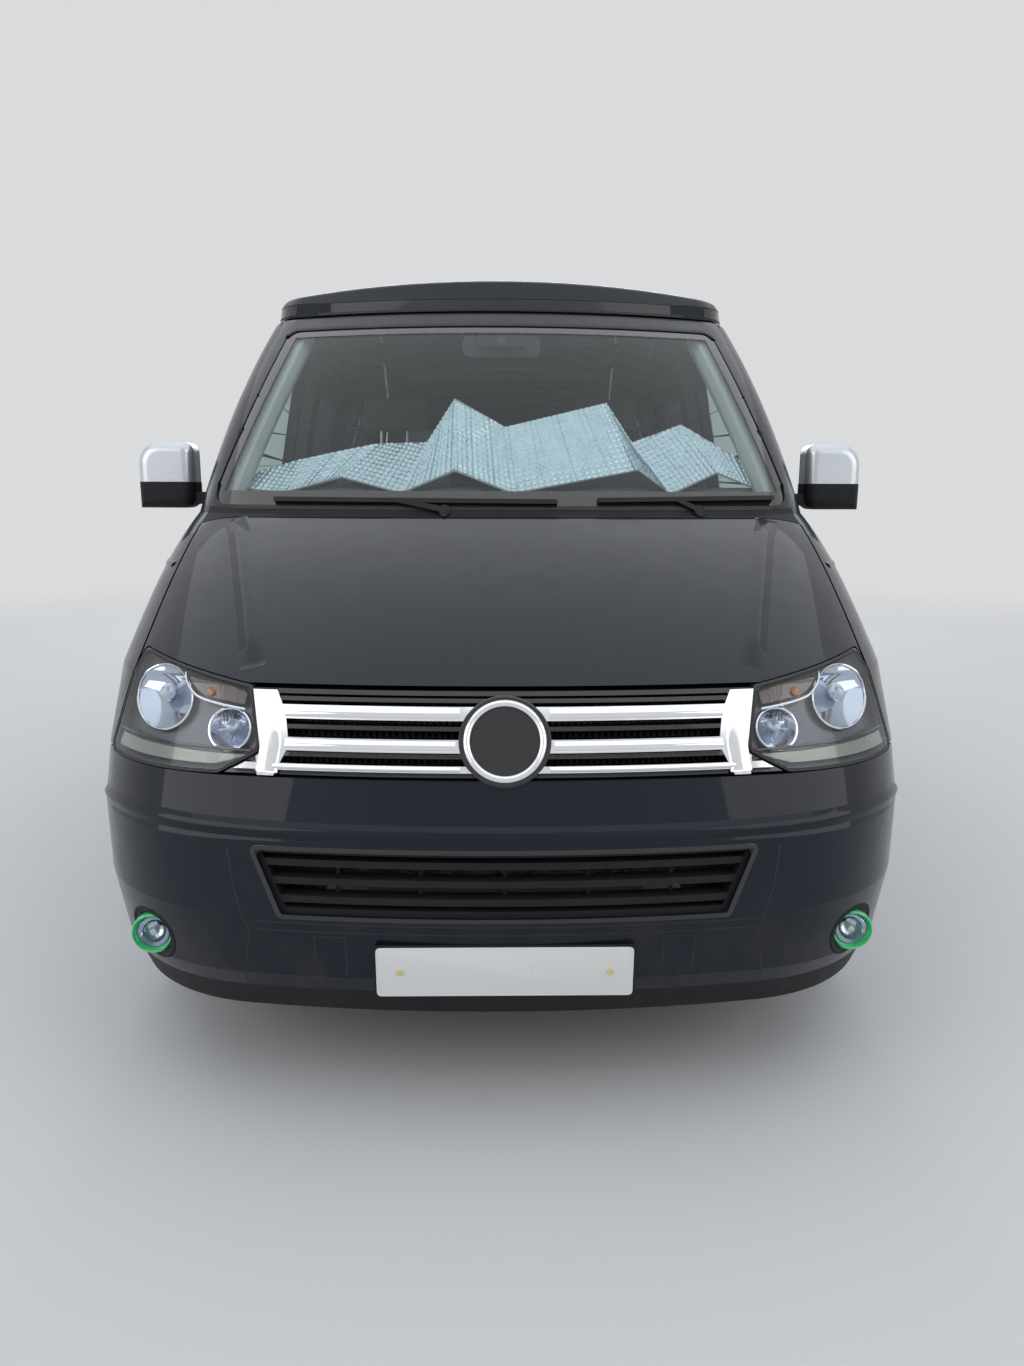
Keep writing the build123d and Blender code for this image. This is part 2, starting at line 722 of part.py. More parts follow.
def wiper(pivot, start, end, start_z, end_z, base):
    """A blade that lies on the glass, with its arm to a round pivot on the cowl, its base."""
    blade = [(start, start_z), (end, end_z), (end, end_z + 12), (start, start_z + 12)]
    far = (start + end) / 2 + (-40 if pivot > (start + end) / 2 else 40)
    far_z = (start_z + end_z) / 2
    arm = [(pivot, 1252), (far, far_z), (far, far_z + 11), (pivot, 1268)]
    if pivot > far:
        arm.reverse()
    zone = front_prism(blade, 700, 1300) + front_prism(arm, 700, 1300)
    zone = zone + rod_y(pivot, 700, 1100, 1258, 15)
    layer = form(BONNET_ROWS, -WIPER_STAND) + form(CABIN_ROWS, -WIPER_STAND)
    return one((zone & layer).cut(GLASS_OUT, base))


# Folded blind: bottom and top ends of each fold, as (x, s, z)
BLIND_LOW = [
    (-770, 1150, 1316), (-643, 1084, 1303), (-487, 1215, 1350), (-295, 1084, 1303), (-143, 1215, 1370),
    (32, 1084, 1303), (418, 1215, 1374), (498, 1084, 1303), (655, 1200, 1366), (775, 1165, 1316),
]
BLIND_HIGH = [
    (-740, 1210, 1362), (-608, 1250, 1403), (-392, 1350, 1454), (-228, 1275, 1454), (-147, 1350, 1592),
    (10, 1265, 1500), (332, 1365, 1582), (397, 1265, 1453), (567, 1345, 1515), (772, 1235, 1382),
]
BLIND_T = 6.0


def windscreen_blind():
    """A closed skin of flat faces round the folded sheet."""
    low = [(x, at(s), z) for x, s, z in BLIND_LOW]
    high = [(x, at(s), z) for x, s, z in BLIND_HIGH]
    ring = low + high[::-1]
    faces = []
    for shift in (0.0, BLIND_T):
        for k in range(len(low) - 1):
            for corners in ((low[k], low[k + 1], high[k]), (low[k + 1], high[k + 1], high[k])):
                faces.append(Face(Wire.make_polygon([(x, y + shift, z) for x, y, z in corners], close=True)))
    for a, b in zip(ring, ring[1:] + ring[:1]):
        side = [a, b, (b[0], b[1] + BLIND_T, b[2]), (a[0], a[1] + BLIND_T, a[2])]
        faces.append(Face(Wire.make_polygon(side, close=True)))
    solid = Solid(Shell(faces))
    return solid if solid.volume > 0 else Solid(Shell([-f for f in faces]))


def rear_view_mirror():
    """The inside mirror and its stalk on the windscreen's top."""
    shell = block(-125, 125, 1470, 1496, 1736, 1800)
    shell = fillet(shell.edges().filter_by(Axis.Y), 20)
    stalk = block(-14, 14, 1380, 1475, 1768, 1790) & GLASS_IN
    return one(shell + stalk)


def sliding_door():
    shape = SKIN & side_prism(SLIDER, 600, 1100, 28.0, -GAP / 2)
    shape = shape - window_hole(MIDDLE_WINDOW, 1)
    shape = shape - block(931, 990, 2338, 2482, 1046, 1104)
    handle = block(925, 958, 2348, 2472, 1064, 1086)
    handle = fillet(handle.edges().filter_by(Axis.Y), 8)
    shape = one(shape) + handle
    for s, z in ((2330, 620), (2330, 1480), (2960, 440)):
        shape = shape + slab(INNER, FRAME_OUT, block(600, 1000, s - 15, s + 15, z - 20, z + 20))
    return one(shape)


def roof_panel():
    shape = SKIN & block(-1100, 1100, 1300, 4900, CANT_Z, ROOF_Z + 5)
    shape = shape - gate_prism(GAP / 2)
    shape = shape - block(-WELL_HALF, WELL_HALF, WELL_FRONT_S, WELL_REAR_S, 1800, 1900)
    shape = shape - front_prism(SCREEN, 700, 1450, 50.0)
    shape = one(shape)
    for x in LID_HINGES_X:
        fixed, _ = lid_hinge(x)
        for end in (-HINGE_LEN / 2 - 8, HINGE_LEN / 2 + 8):
            foot = block(x + end - 6, x + end + 6, LID_AXIS_S - 9, LID_AXIS_S + 9, ROOF_Z - 3, LID_AXIS_Z)
            fixed = fixed + foot
        shape = shape + fixed
    for x in GATE_HINGES_X:
        fixed, _ = gate_hinge(x)
        for end in (-HINGE_LEN / 2 - 8, HINGE_LEN / 2 + 8):
            arm = block(x + end - 6, x + end + 6, GATE_CUT_S - 40, GATE_AXIS_S, GATE_AXIS_Z - 9, GATE_AXIS_Z)
            fixed = fixed + arm
        shape = shape + fixed
    return one(shape)


LID_HINGES_X = (-560.0, 560.0)
LID_AXIS_S = LID_REAR_S + 14
LID_AXIS_Z = ROOF_Z + 17
GATE_HINGES_X = (-480.0, 480.0)
GATE_AXIS_S = GATE_CUT_S + 12
GATE_AXIS_Z = ROOF_Z - 9.5


def lid_hinge(x):
    def place(x0, x1, r):
        return rod_x(x0, x1, LID_AXIS_S, LID_AXIS_Z, r)

    return hinge_set(place, None, x, HINGE_LEN, HINGE_PIN_R, HINGE_R)


def gate_hinge(x):
    def place(x0, x1, r):
        return rod_x(x0, x1, GATE_AXIS_S, GATE_AXIS_Z, r)

    return hinge_set(place, None, x, HINGE_LEN, HINGE_PIN_R, HINGE_R)


def tailgate():
    shape = one(SKIN & gate_prism(-GAP / 2))
    shape = shape - front_prism(GATE_WINDOW, GATE_CUT_S, LENGTH + 60, 50.0)
    for x in GATE_HINGES_X:
        _, sleeve = gate_hinge(x)
        reach = HINGE_LEN / 2 + 14 + MOVE
        cut = block(x - reach, x + reach, GATE_CUT_S - 20, GATE_AXIS_S + 16, GATE_AXIS_Z - 50, ROOF_Z + 10)
        shape = shape - cut
        arm = block(x - 22, x + 22, GATE_AXIS_S + 3, GATE_AXIS_S + 30, GATE_AXIS_Z - 9, GATE_AXIS_Z + 3)
        shape = shape + (arm - rod_x(x - 40, x + 40, GATE_AXIS_S, GATE_AXIS_Z, HINGE_PIN_R + FIT)) + sleeve
    shape = shape - block(-180, 180, 4880 - 60, 5000, 790, 850)
    return one(shape)


def tailgate_glass():
    return one(slab(GLASS_OUT, GLASS_IN, front_prism(GATE_WINDOW, GATE_CUT_S, LENGTH + 60, 50.0, -GLASS_FIT)))


def lid():
    def crowned(inset):
        crown = Pos(0, at(3000), LID_TOP_Z - inset - LID_CROWN_R) * Rot(90, 0, 0)
        crown = crown * Cylinder(LID_CROWN_R, 4000)
        return form(LID_ROWS, inset, True) & crown

    outer = crowned(0.0)
    top = [e for e in outer.edges() if e.center().Z > LID_BASE_Z + 60]
    outer = fillet(top, 22.0)
    shape = one(outer - crowned(LID_T))
    for x in LID_HINGES_X:
        _, sleeve = lid_hinge(x)
        arm = block(x - 22, x + 22, LID_REAR_S - 40, LID_AXIS_S - 3, LID_AXIS_Z - 5, LID_AXIS_Z + 9)
        shape = shape + (arm - rod_x(x - 40, x + 40, LID_AXIS_S, LID_AXIS_Z, HINGE_PIN_R + FIT)) + sleeve
    return one(shape)


def roof_bellows():
    outer = block(
        -WELL_HALF - 46, WELL_HALF + 46, WELL_FRONT_S - 46, WELL_REAR_S + 46, ROOF_Z, LID_BASE_Z + 48
    )
    inner = block(-WELL_HALF - 10, WELL_HALF + 10, WELL_FRONT_S - 10, WELL_REAR_S + 10, ROOF_Z - 5, 2000)
    return outer - inner


def rear_bumper():
    rows = [
        (REAR_BUMPER_BASE_Z, 75, 926, 400, 4864, 120),
        (420.0, 75, 942, 440, LENGTH, 130),
        (REAR_BUMPER_TOP_Z - GAP, 75, 947, 455, LENGTH - 8, 130),
    ]
    outer = Solid.make_loft([outline(*row) for row in rows], ruled=True)
    inner = Solid.make_loft([outline(*row, inset=WALL) for row in rows], ruled=True)
    zone = block(-1100, 1100, 4490, 5000, 200, 700)
    shape = (outer - inner) & zone
    top = (inner & zone) & block(-1100, 1100, 4600, 5000, REAR_BUMPER_TOP_Z - GAP - 30, REAR_BUMPER_TOP_Z)
    return one(shape + top)


def tail_lamp(side):
    low = REAR_LAMP_BASE_Z + GLASS_FIT
    high = REAR_LAMP_TOP_Z - GLASS_FIT
    zone = block(side * (GATE_HALF + GAP / 2 + 1), side * 1000, REAR_LAMP_S + GLASS_FIT, 5000, low, high)
    return one(SKIN & zone)


def tyre(x, s):
    points = [
        (-96, RIM_R), (-112, RIM_R + 16), (-TYRE_W / 2, 285), (-108, 325), (-88, 340), (-60, TYRE_R),
        (60, TYRE_R), (88, 340), (108, 325), (TYRE_W / 2, 285), (112, RIM_R + 16), (96, RIM_R),
    ]
    face = Face(Wire.make_polygon([(px, 0, pr) for px, pr in points], close=True))
    return Pos(x, at(s), TYRE_R) * revolve(face, Axis.X)


def rim(x, s):
    """Barrel, hub, five split spokes and the brake disc, outer face to +X."""
    side = 1 if x > 0 else -1
    barrel = [
        (-RIM_W / 2, RIM_R - 0.2), (-RIM_W / 2, RIM_R - RIM_WALL), (30, RIM_R - RIM_WALL - 10),
        (RIM_W / 2 - 6, RIM_R - RIM_WALL), (RIM_W / 2, RIM_R - 0.2),
    ]
    face = Face(Wire.make_polygon([(px, 0, pr) for px, pr in barrel], close=True))
    shape = revolve(face, Axis.X)
    hub = [
        (-DISC_IN, SHAFT_R + FIT), (-DISC_IN, DISC_R), (DISC_T - DISC_IN, DISC_R),
        (DISC_T - DISC_IN, HUB_R + 8), (30, HUB_R), (62, 66),
        (70, 58), (70, 0), (40, 0), (40, SHAFT_R + FIT),
    ]
    face = Face(Wire.make_polygon([(px, 0, pr) for px, pr in hub], close=True))
    shape = shape + revolve(face, Axis.X)
    for k in range(SPOKES):
        for lean in (-1, 1):
            arm = [(50, 40), (74, 50), (80, RIM_R - 12), (44, RIM_R - 12)]
            blade = Face(Wire.make_polygon([(px, 0, pr) for px, pr in arm], close=True))
            blade = Pos(0, -9, 0) * Solid.extrude(blade, Vector(0, 18, 0))
            blade = Pos(0, lean * 16, 0) * blade
            shape = shape + Rot(360.0 / SPOKES * k + lean * 7, 0, 0) * blade
    if side < 0:
        shape = Rot(0, 0, 180) * shape
    return Pos(x, at(s), TYRE_R) * shape


KINGPIN_IN = 70.0
BALL_R = 9.0
POST_R = 18.0
ARM_Z = 205.0


def stub(side, centre_s, inner_x):
    return rod_x(side * inner_x, side * (WHEEL_X + 34), centre_s, TYRE_R, SHAFT_R)


def caliper(side, centre_s, reach):
    """A caliper round the disc's rear edge, with its arm to the hub carrier."""
    disc0 = WHEEL_X - DISC_IN
    disc1 = disc0 + DISC_T
    body = block(side * (disc0 - 30), side * (disc1 + 24), centre_s + 112, centre_s + 178, 300, 390)
    slot = block(side * (disc0 - 7), side * (disc1 + 7), centre_s + 60, centre_s + DISC_R + 6, 290, 400)
    arm = block(side * (disc0 - 30), side * (disc0 - 10), centre_s, centre_s + 130, 320, 370)
    return body - slot + arm


def knuckle(side):
    x = WHEEL_X - KINGPIN_IN
    post = rod_z(side * x, FRONT_AXLE, ARM_Z + 26, 420, POST_R)
    post = post - rod_z(side * x, FRONT_AXLE, ARM_Z, ARM_Z + 60, BALL_R + FIT)
    shape = post + stub(side, FRONT_AXLE, x)
    shape = shape + caliper(side, FRONT_AXLE, x)
    shape = shape + block(side * (x - 12), side * (x + 12), FRONT_AXLE - 120, FRONT_AXLE, 300, 324)
    return one(shape)


def front_subframe():
    shape = block(-330, 330, FRONT_AXLE - 120, FRONT_AXLE + 120, 230, 280)
    x = WHEEL_X - KINGPIN_IN
    for side in (1, -1):
        arm = side_arm(side, x)
        pin = rod_z(side * x, FRONT_AXLE, ARM_Z - 10, ARM_Z + 56, BALL_R)
        end = rod_z(side * x, FRONT_AXLE, ARM_Z - 18, ARM_Z + 20, POST_R)
        rise = block(side * 330, side * 400, FRONT_AXLE - 90, FRONT_AXLE + 90, 230, FLOOR_Z - FLOOR_T)
        rail = block(side * 400, side * 470, 545, 1330, RAIL_Z, FLOOR_Z - FLOOR_T)
        mount = block(side * 402, side * 470, 560, 620, FLOOR_Z - FLOOR_T, ENGINE_Z)
        shape = shape + arm + pin + end + rise + rail + mount
    return shape


def side_arm(side, x):
    points = [(300, FRONT_AXLE - 100), (300, FRONT_AXLE + 100), (x, FRONT_AXLE + 24), (x, FRONT_AXLE - 24)]
    points = [(side * px, ps) for px, ps in points]
    if side < 0:
        points.reverse()
    face = Face(Wire.make_polygon([(px, at(ps), 238 - 0) for px, ps in points], close=True))
    plate = Solid.extrude(face, Vector(0, 0, 14))
    link = block(side * (x - 60), side * x, FRONT_AXLE - 24, FRONT_AXLE + 24, ARM_Z - 10, ARM_Z + 14)
    riser = block(side * (x - 92), side * (x - 56), FRONT_AXLE - 28, FRONT_AXLE + 28, ARM_Z - 10, 252)
    return plate - block(side * (x - 60), side * (x + 60), 0, 2000, 200, 300) + link + riser


def rear_axle():
    shape = None
    for side in (1, -1):
        points = [(3380, 382), (3380, 440), (3880, 398), (3950, 345), (3900, 290)]
        arm = side_prism(points, side * 560, side * 640)
        hub = rod_x(side * 600, side * 740, REAR_AXLE, TYRE_R, 48)
        piece = arm + hub + stub(side, REAR_AXLE, 640) + caliper(side, REAR_AXLE, 640)
        spring = rod_z(side * 560, REAR_AXLE, 330, FLOOR_Z - FLOOR_T, 48)
        seat = block(side * 500, side * 640, REAR_AXLE - 60, REAR_AXLE + 60, 310, 335)
        piece = piece + spring + seat
        shape = piece if shape is None else shape + piece
    beam = block(-520, 520, REAR_AXLE - 40, REAR_AXLE + 40, 300, 350)
    beam = beam + block(-600, 600, 3390, 3450, 384, RAIL_Z)
    return shape + beam


def arch_liner(side, centre_s):
    x0 = side * 496.0
    x1 = side * 900.0
    r = ARCH_R + 9
    skin = rod_x(x0, x1, centre_s, TYRE_R, r + LINER_T) - rod_x(side * 501, side * 960, centre_s, TYRE_R, r)
    return one(skin & block(-1000, 1000, 400, 5000, 300, 800) & INNER)


def floor_pan():
    shape = FRAME_IN & block(-1000, 1000, 1330, 4700, FLOOR_Z - FLOOR_T, FLOOR_Z)
    for side in (1, -1):
        x0 = side * 655.0
        r = ARCH_R + 9
        shape = shape - rod_x(x0, side * 1000, REAR_AXLE, TYRE_R, r)
        house = rod_x(x0, side * 1000, REAR_AXLE, TYRE_R, r + LINER_T)
        house = house - rod_x(side * 660, side * 1000, REAR_AXLE, TYRE_R, r)
        house = house & INNER & block(-1000, 1000, 3300, 4500, 345, 800)
        shape = shape + (house - rod_x(side * 640, side * 670, REAR_AXLE, TYRE_R, 58))
        rail = block(side * 400, side * 470, 1330, 4700, RAIL_Z, FLOOR_Z - FLOOR_T)
        shape = shape + rail
    return one(shape)


def bulkhead():
    """The wall before the cab, with the shelf under the windscreen's foot."""
    points = [
        (1060, 1130), (1060, SCUTTLE_Z + 5), (1092, SCUTTLE_Z + 5), (1092, 640), (1330, FLOOR_Z),
        (1330, FLOOR_Z - FLOOR_T), (1300, FLOOR_Z - FLOOR_T), (1060, 600),
    ]
    shape = side_prism(points, -900, 900) & FRAME_IN
    reach = ARCH_R + 9 + LINER_T + 0.5
    wheels = [rod_x(side * 490, side * 1000, FRONT_AXLE, TYRE_R, reach) for side in (1, -1)]
    shape = shape.cut(*wheels)
    shelf = block(-870, 870, 840, 1092, SCUTTLE_Z, SCUTTLE_TOP_Z) & INNER
    slots = [
        block(side * (BONNET_HINGE_X - 23), side * (BONNET_HINGE_X + 23), 800, BONNET_AXIS_S + 16, 1100, 1200)
        for side in (1, -1)
    ]
    shape = shape + shelf.cut(bonnet_plan(HINGE_GAP, 1000, 1300), *slots)
    for side in (1, -1):
        fixed, _ = bonnet_hinge(side)
        for end in (-23, 23):
            x = side * (BONNET_HINGE_X + end)
            post = block(x - 6, x + 6, BONNET_AXIS_S - 9, BONNET_AXIS_S + 18, SCUTTLE_Z + 4, BONNET_AXIS_Z)
            fixed = fixed + post
        shape = shape + fixed
    return one(shape)


def dashboard():
    points = [
        (1092, 930), (1092, SCUTTLE_TOP_Z), (1066, SCUTTLE_TOP_Z), (1066, 1233), (850, 1233), (850, 1250),
        (1000, 1272), (1070, 1300), (1240, 1322),
        (1330, 1300), (1380, 1210), (1400, 1090), (1380, 960), (1300, 900),
    ]
    return one(side_prism(points, -800, 800) & INNER)


def front_seat(x):
    base = block(x - 210, x + 210, 1640, 2060, FLOOR_Z, 834)
    base = fillet(base.edges().filter_by(Axis.Z), 30)
    squab = block(x - 250, x + 250, 1590, 2090, 832, 960)
    squab = fillet(squab.edges(), 42)
    back = side_prism([(2040, 900), (2160, 880), (2290, 1500), (2210, 1530)], x - 240, x + 240, 30)
    rest = side_prism([(2215, 1540), (2290, 1530), (2310, 1680), (2250, 1690)], x - 135, x + 135, 24)
    neck = block(x - 60, x - 44, 2240, 2256, 1480, 1560) + block(x + 44, x + 60, 2240, 2256, 1480, 1560)
    return one(squab + back + rest + neck + base)


COLUMN_X = -430.0
COLUMN_TILT = 38.0
STEER_R = 188.0
SHAFT_T = 11.0
STEER_S = 1500.0
STEER_Z = 1170.0


def column_place():
    return Pos(COLUMN_X, at(STEER_S), STEER_Z) * Rot(-(90 - COLUMN_TILT), 0, 0)


def steering_wheel():
    """Local +Z points from the dashboard to the driver."""
    ring = Torus(STEER_R, 15)
    hub = Pos(0, 0, -26) * Cylinder(62, 36)
    shape = ring + hub
    for angle in (0, 180, 270):
        spoke = Pos(STEER_R / 2 + 10, 0, -14) * Box(STEER_R - 20, 34, 16)
        shape = shape + Rot(0, 0, angle) * spoke
    shape = shape + Pos(0, 0, -110) * Cylinder(SHAFT_T, 150)
    return column_place() * shape


def steering_column():
    tube = Pos(0, 0, -170) * Cylinder(34, 220)
    bore = Pos(0, 0, -120) * Cylinder(SHAFT_T + FIT, 160)
    return one(dashboard() + column_place() * tube) - column_place() * bore


def both(name, shape):
    """Keep a left-hand piece and its mirror image."""
    keep(name + "_left", shape)
    keep(name + "_right", mirror(shape, Plane.YZ))


def pair(name, *shapes):
    """Keep fixed pieces and their mirror images together."""
    group = [s for shape in shapes for s in (shape, mirror(shape, Plane.YZ))]
    keep(name, Compound(children=group))


panel = side_panel()
keep("side_panel_left", sliding_side(panel))
keep("side_panel_right", fixed_side(mirror(panel, Plane.YZ)))
both("body_frame", body_frame(1))
both("front_wing", front_wing(1))
both("front_door", front_door(1))
both("door_glass", window_pane(DOOR_WINDOW, 1))
both("mirror", door_mirror(1))
both("knuckle", knuckle(1))
pair("side_windows", window_pane(QUARTER_WINDOW, 1), window_pane(MIDDLE_WINDOW, 1))
lens, tray = headlamp(1)
pair("headlamp_lenses", lens)
pair("headlamp_housings", tray)
pair("tail_lamps", tail_lamp(1))
pair("arch_liners", arch_liner(1, FRONT_AXLE))
pair("front_seats", front_seat(430.0))
for end, centre_s in (("front", FRONT_AXLE), ("rear", REAR_AXLE)):
    both("tyre_" + end, tyre(WHEEL_X, centre_s))
    both("rim_" + end, rim(WHEEL_X, centre_s))
keep("sliding_door", sliding_door())
keep("roof_panel", roof_panel())
keep("windscreen", windscreen())
keep("front_bumper", front_bumper())
keep("front_lip", front_lip())
keep("lower_grille", lower_grille())
keep("upper_grille", upper_grille())
keep("grille_chrome", grille_chrome())
keep("bonnet", bonnet())
keep("cowl", cowl())
keep("front_carrier", front_carrier())
keep("tailgate", tailgate())
keep("tailgate_glass", tailgate_glass())
keep("pop_top", lid())
keep("roof_bellows", roof_bellows())
keep("rear_bumper", rear_bumper())
keep("front_subframe", front_subframe())
keep("rear_axle", rear_axle())
keep("floor_pan", floor_pan())
keep("bulkhead", bulkhead())
keep("dashboard", one(steering_column()))
keep("steering_wheel", steering_wheel())
keep("engine", block(-420, 420, 345, 800, ENGINE_Z, 900) + block(-320, 330, 360, 770, 300, ENGINE_Z))
keep("radiator", block(-400, 400, 300, 340, 440, 800))
keep("rear_bench", block(-420, 640, 3200, 3760, FLOOR_Z, 930) + block(-420, 640, 3640, 3780, 930, 1450))
keep("furniture", block(-830, -440, 2420, 3190, FLOOR_Z, 1080) & FRAME_IN)
keep("fuel_tank", block(-380, 100, 1500, 2250, 250, FLOOR_Z - FLOOR_T))
keep("exhaust", rod_y(340, FRONT_AXLE + 90, 3600, 330, 30) + block(240, 460, 2700, 3250, 270, 400))
pair("fog_lamps", fog_lamp(1))
keep("wipers", Compound(children=[wiper(*row, NODES["cowl"]) for row in WIPERS]))
keep("windscreen_blind", windscreen_blind())
keep("rear_view_mirror", rear_view_mirror())

for name, shape in NODES.items():
    export_step(shape, "parts/" + name + ".step")
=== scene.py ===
import math

import bmesh
import bpy
from mathutils import Matrix, Vector
from mathutils.bvhtree import BVHTree
from mathutils.geometry import delaunay_2d_cdt


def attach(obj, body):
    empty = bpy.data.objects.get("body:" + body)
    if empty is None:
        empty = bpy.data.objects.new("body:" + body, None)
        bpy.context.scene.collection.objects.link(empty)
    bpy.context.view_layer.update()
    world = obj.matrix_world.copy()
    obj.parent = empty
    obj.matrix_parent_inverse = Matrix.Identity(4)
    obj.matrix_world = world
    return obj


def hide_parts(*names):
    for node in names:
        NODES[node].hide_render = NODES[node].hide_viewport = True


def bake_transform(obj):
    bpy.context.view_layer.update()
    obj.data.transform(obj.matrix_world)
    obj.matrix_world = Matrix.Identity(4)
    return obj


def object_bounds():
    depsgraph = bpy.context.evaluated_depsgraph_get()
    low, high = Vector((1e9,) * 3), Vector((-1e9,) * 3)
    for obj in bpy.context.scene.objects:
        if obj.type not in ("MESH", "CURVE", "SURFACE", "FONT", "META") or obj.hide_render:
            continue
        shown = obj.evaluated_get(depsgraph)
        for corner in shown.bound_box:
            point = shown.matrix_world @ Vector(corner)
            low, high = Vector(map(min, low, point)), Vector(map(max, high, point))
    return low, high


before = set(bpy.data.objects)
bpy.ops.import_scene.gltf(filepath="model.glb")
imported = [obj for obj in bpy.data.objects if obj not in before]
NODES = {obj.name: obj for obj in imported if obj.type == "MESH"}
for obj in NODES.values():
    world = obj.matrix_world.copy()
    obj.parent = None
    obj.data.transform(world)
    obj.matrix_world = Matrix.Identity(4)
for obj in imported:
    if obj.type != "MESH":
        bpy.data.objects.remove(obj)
CAD_BOX = [list(corner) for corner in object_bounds()]
scene = bpy.context.scene

# All lengths are in metres. A station s is a distance behind the nose, and at(s) is its Y.
LENGTH = 4.892


def at(s):
    return s - LENGTH / 2


# Camera, fitted to the photograph's corners and edges

PHOTO_HEIGHT = 1366
FOCAL = 960.0
SENSOR = 24.0
YAW, PITCH, ROLL = 0.017, 0.196, 0.003
EYE = Vector((-0.018, at(-1.779), 1.306))


def set_camera():
    forward = Vector((math.sin(YAW) * math.cos(PITCH), math.cos(YAW) * math.cos(PITCH), -math.sin(PITCH)))
    side = Vector((math.cos(YAW), -math.sin(YAW), 0))
    up = side.cross(forward)
    right = math.cos(ROLL) * side + math.sin(ROLL) * up
    above = math.cos(ROLL) * up - math.sin(ROLL) * side
    data = bpy.data.cameras.new("camera")
    data.sensor_fit = "VERTICAL"
    data.sensor_height = SENSOR
    data.lens = FOCAL / PHOTO_HEIGHT * SENSOR
    data.clip_start = 0.05
    camera = bpy.data.objects.new("camera", data)
    scene.collection.objects.link(camera)
    turn = Matrix((right, above, -forward)).transposed().to_4x4()
    camera.matrix_world = Matrix.Translation(EYE) @ turn
    scene.camera = camera


set_camera()

# Materials


class Graph:
    """Builds shader nodes in a tree, with patterns in object coordinates."""

    def __init__(self, tree):
        self.tree = tree
        self.coords = self.node("ShaderNodeTexCoord").outputs["Object"]

    def feed(self, socket, value):
        """Links an output to a socket, or sets its number or colour."""
        if isinstance(value, bpy.types.NodeSocket):
            self.tree.links.new(value, socket)
        else:
            socket.default_value = (*value, 1) if isinstance(value, tuple) else value

    def node(self, kind, inputs=None, **settings):
        made = self.tree.nodes.new(kind)
        for name, value in settings.items():
            setattr(made, name, value)
        for name, value in (inputs or {}).items():
            self.feed(made.inputs[name], value)
        return made

    def noise(self, scale, detail=3.0):
        values = {"Vector": self.coords, "Scale": scale, "Detail": detail, "Roughness": 0.6}
        return self.node("ShaderNodeTexNoise", values).outputs["Fac"]

    def cells(self, scale):
        return self.node("ShaderNodeTexVoronoi", {"Vector": self.coords, "Scale": scale}).outputs["Distance"]

    def axis(self, name, coords=None):
        return self.node("ShaderNodeSeparateXYZ", {0: coords or self.coords}).outputs[name]

    def map(self, value, low, high, to_low=0.0, to_high=1.0, kind="LINEAR"):
        ends = {"Value": value, "From Min": low, "From Max": high, "To Min": to_low, "To Max": to_high}
        return self.node("ShaderNodeMapRange", ends, interpolation_type=kind).outputs[0]

    def math(self, operation, a, b=0.0):
        return self.node("ShaderNodeMath", {0: a, 1: b}, operation=operation).outputs[0]

    def mix(self, factor, a, b, kind="MIX"):
        """Two colours mixed."""
        made = self.node("ShaderNodeMix", {"Factor": factor}, data_type="RGBA", blend_type=kind)
        for socket, value in zip([s for s in made.inputs if s.type == "RGBA"], (a, b)):
            self.feed(socket, value)
        return next(s for s in made.outputs if s.type == "RGBA")

    def join(self, factor, a, b):
        """Two shaders mixed."""
        return self.node("ShaderNodeMixShader", {0: factor, 1: a, 2: b}).outputs[0]

    def seen(self):
        """1 on the rays that show the backdrop: straight, by a reflection or through glass."""
        rays = self.node("ShaderNodeLightPath").outputs
        value = rays["Is Camera Ray"]
        for name in ("Is Glossy Ray", "Is Transmission Ray"):
            value = self.math("MAXIMUM", value, rays[name])
        return value


class Finish(Graph):
    """A Principled material."""

    def __init__(self, name, colour, rough, metal=0.0, coat=0.0, spec=0.5):
        self.mat = bpy.data.materials.new(name)
        self.mat.use_nodes = True
        super().__init__(self.mat.node_tree)
        self.bsdf = self.tree.nodes["Principled BSDF"]
        self.out = self.tree.nodes["Material Output"].inputs[0]
        self.set("Base Color", colour)
        self.set("Roughness", rough)
        self.set("Metallic", metal)
        self.set("Coat Weight", coat)
        self.set("Specular IOR Level", spec)

    def set(self, name, value):
        self.feed(self.bsdf.inputs[name], value)

    def bump(self, height, depth, strength):
        values = {"Height": height, "Distance": depth, "Strength": strength}
        self.set("Normal", self.node("ShaderNodeBump", values).outputs[0])


def paint_finish():
    """Deep navy gloss: a dark base with fine flakes under a clear coat, and brown patches towards the road
    that are a painted reflection of the ground.
    """
    f = Finish("body_paint", (0.006, 0.009, 0.02), 0.34, coat=0.62, spec=0.1)
    f.set("Coat IOR", 1.36)
    tone = f.mix(f.noise(2.2), (0.0045, 0.0066, 0.013), (0.008, 0.0115, 0.020))
    flake = f.mix(f.map(f.cells(1100), 0.0, 0.35), (0.03, 0.045, 0.075), (0.0, 0.0, 0.0))
    # Painted reflection: brownish patches low on the body stand in for the ground mirrored in the gloss.
    low = f.map(f.axis("Z"), 0.55, 0.22)
    painted_ground_reflection = f.math("MULTIPLY", low, f.map(f.noise(9, 5), 0.42, 0.80, 0.0, 0.30))
    f.set("Base Color", f.mix(painted_ground_reflection, f.mix(0.10, tone, flake, "ADD"), (0.12, 0.105, 0.09)))
    f.set("Roughness", f.map(f.noise(14, 4), 0.3, 0.7, 0.28, 0.40))
    f.bump(f.noise(420, 1), 0.00001, 0.25)
    return f.mat


def chrome_finish():
    f = Finish("bright_chrome", (0.86, 0.87, 0.89), 0.06, metal=1.0)
    f.set("Roughness", f.map(f.noise(30, 4), 0.3, 0.75, 0.03, 0.12))
    f.set("Base Color", f.mix(f.noise(6), (0.80, 0.81, 0.83), (0.90, 0.91, 0.93)))
    return f.mat


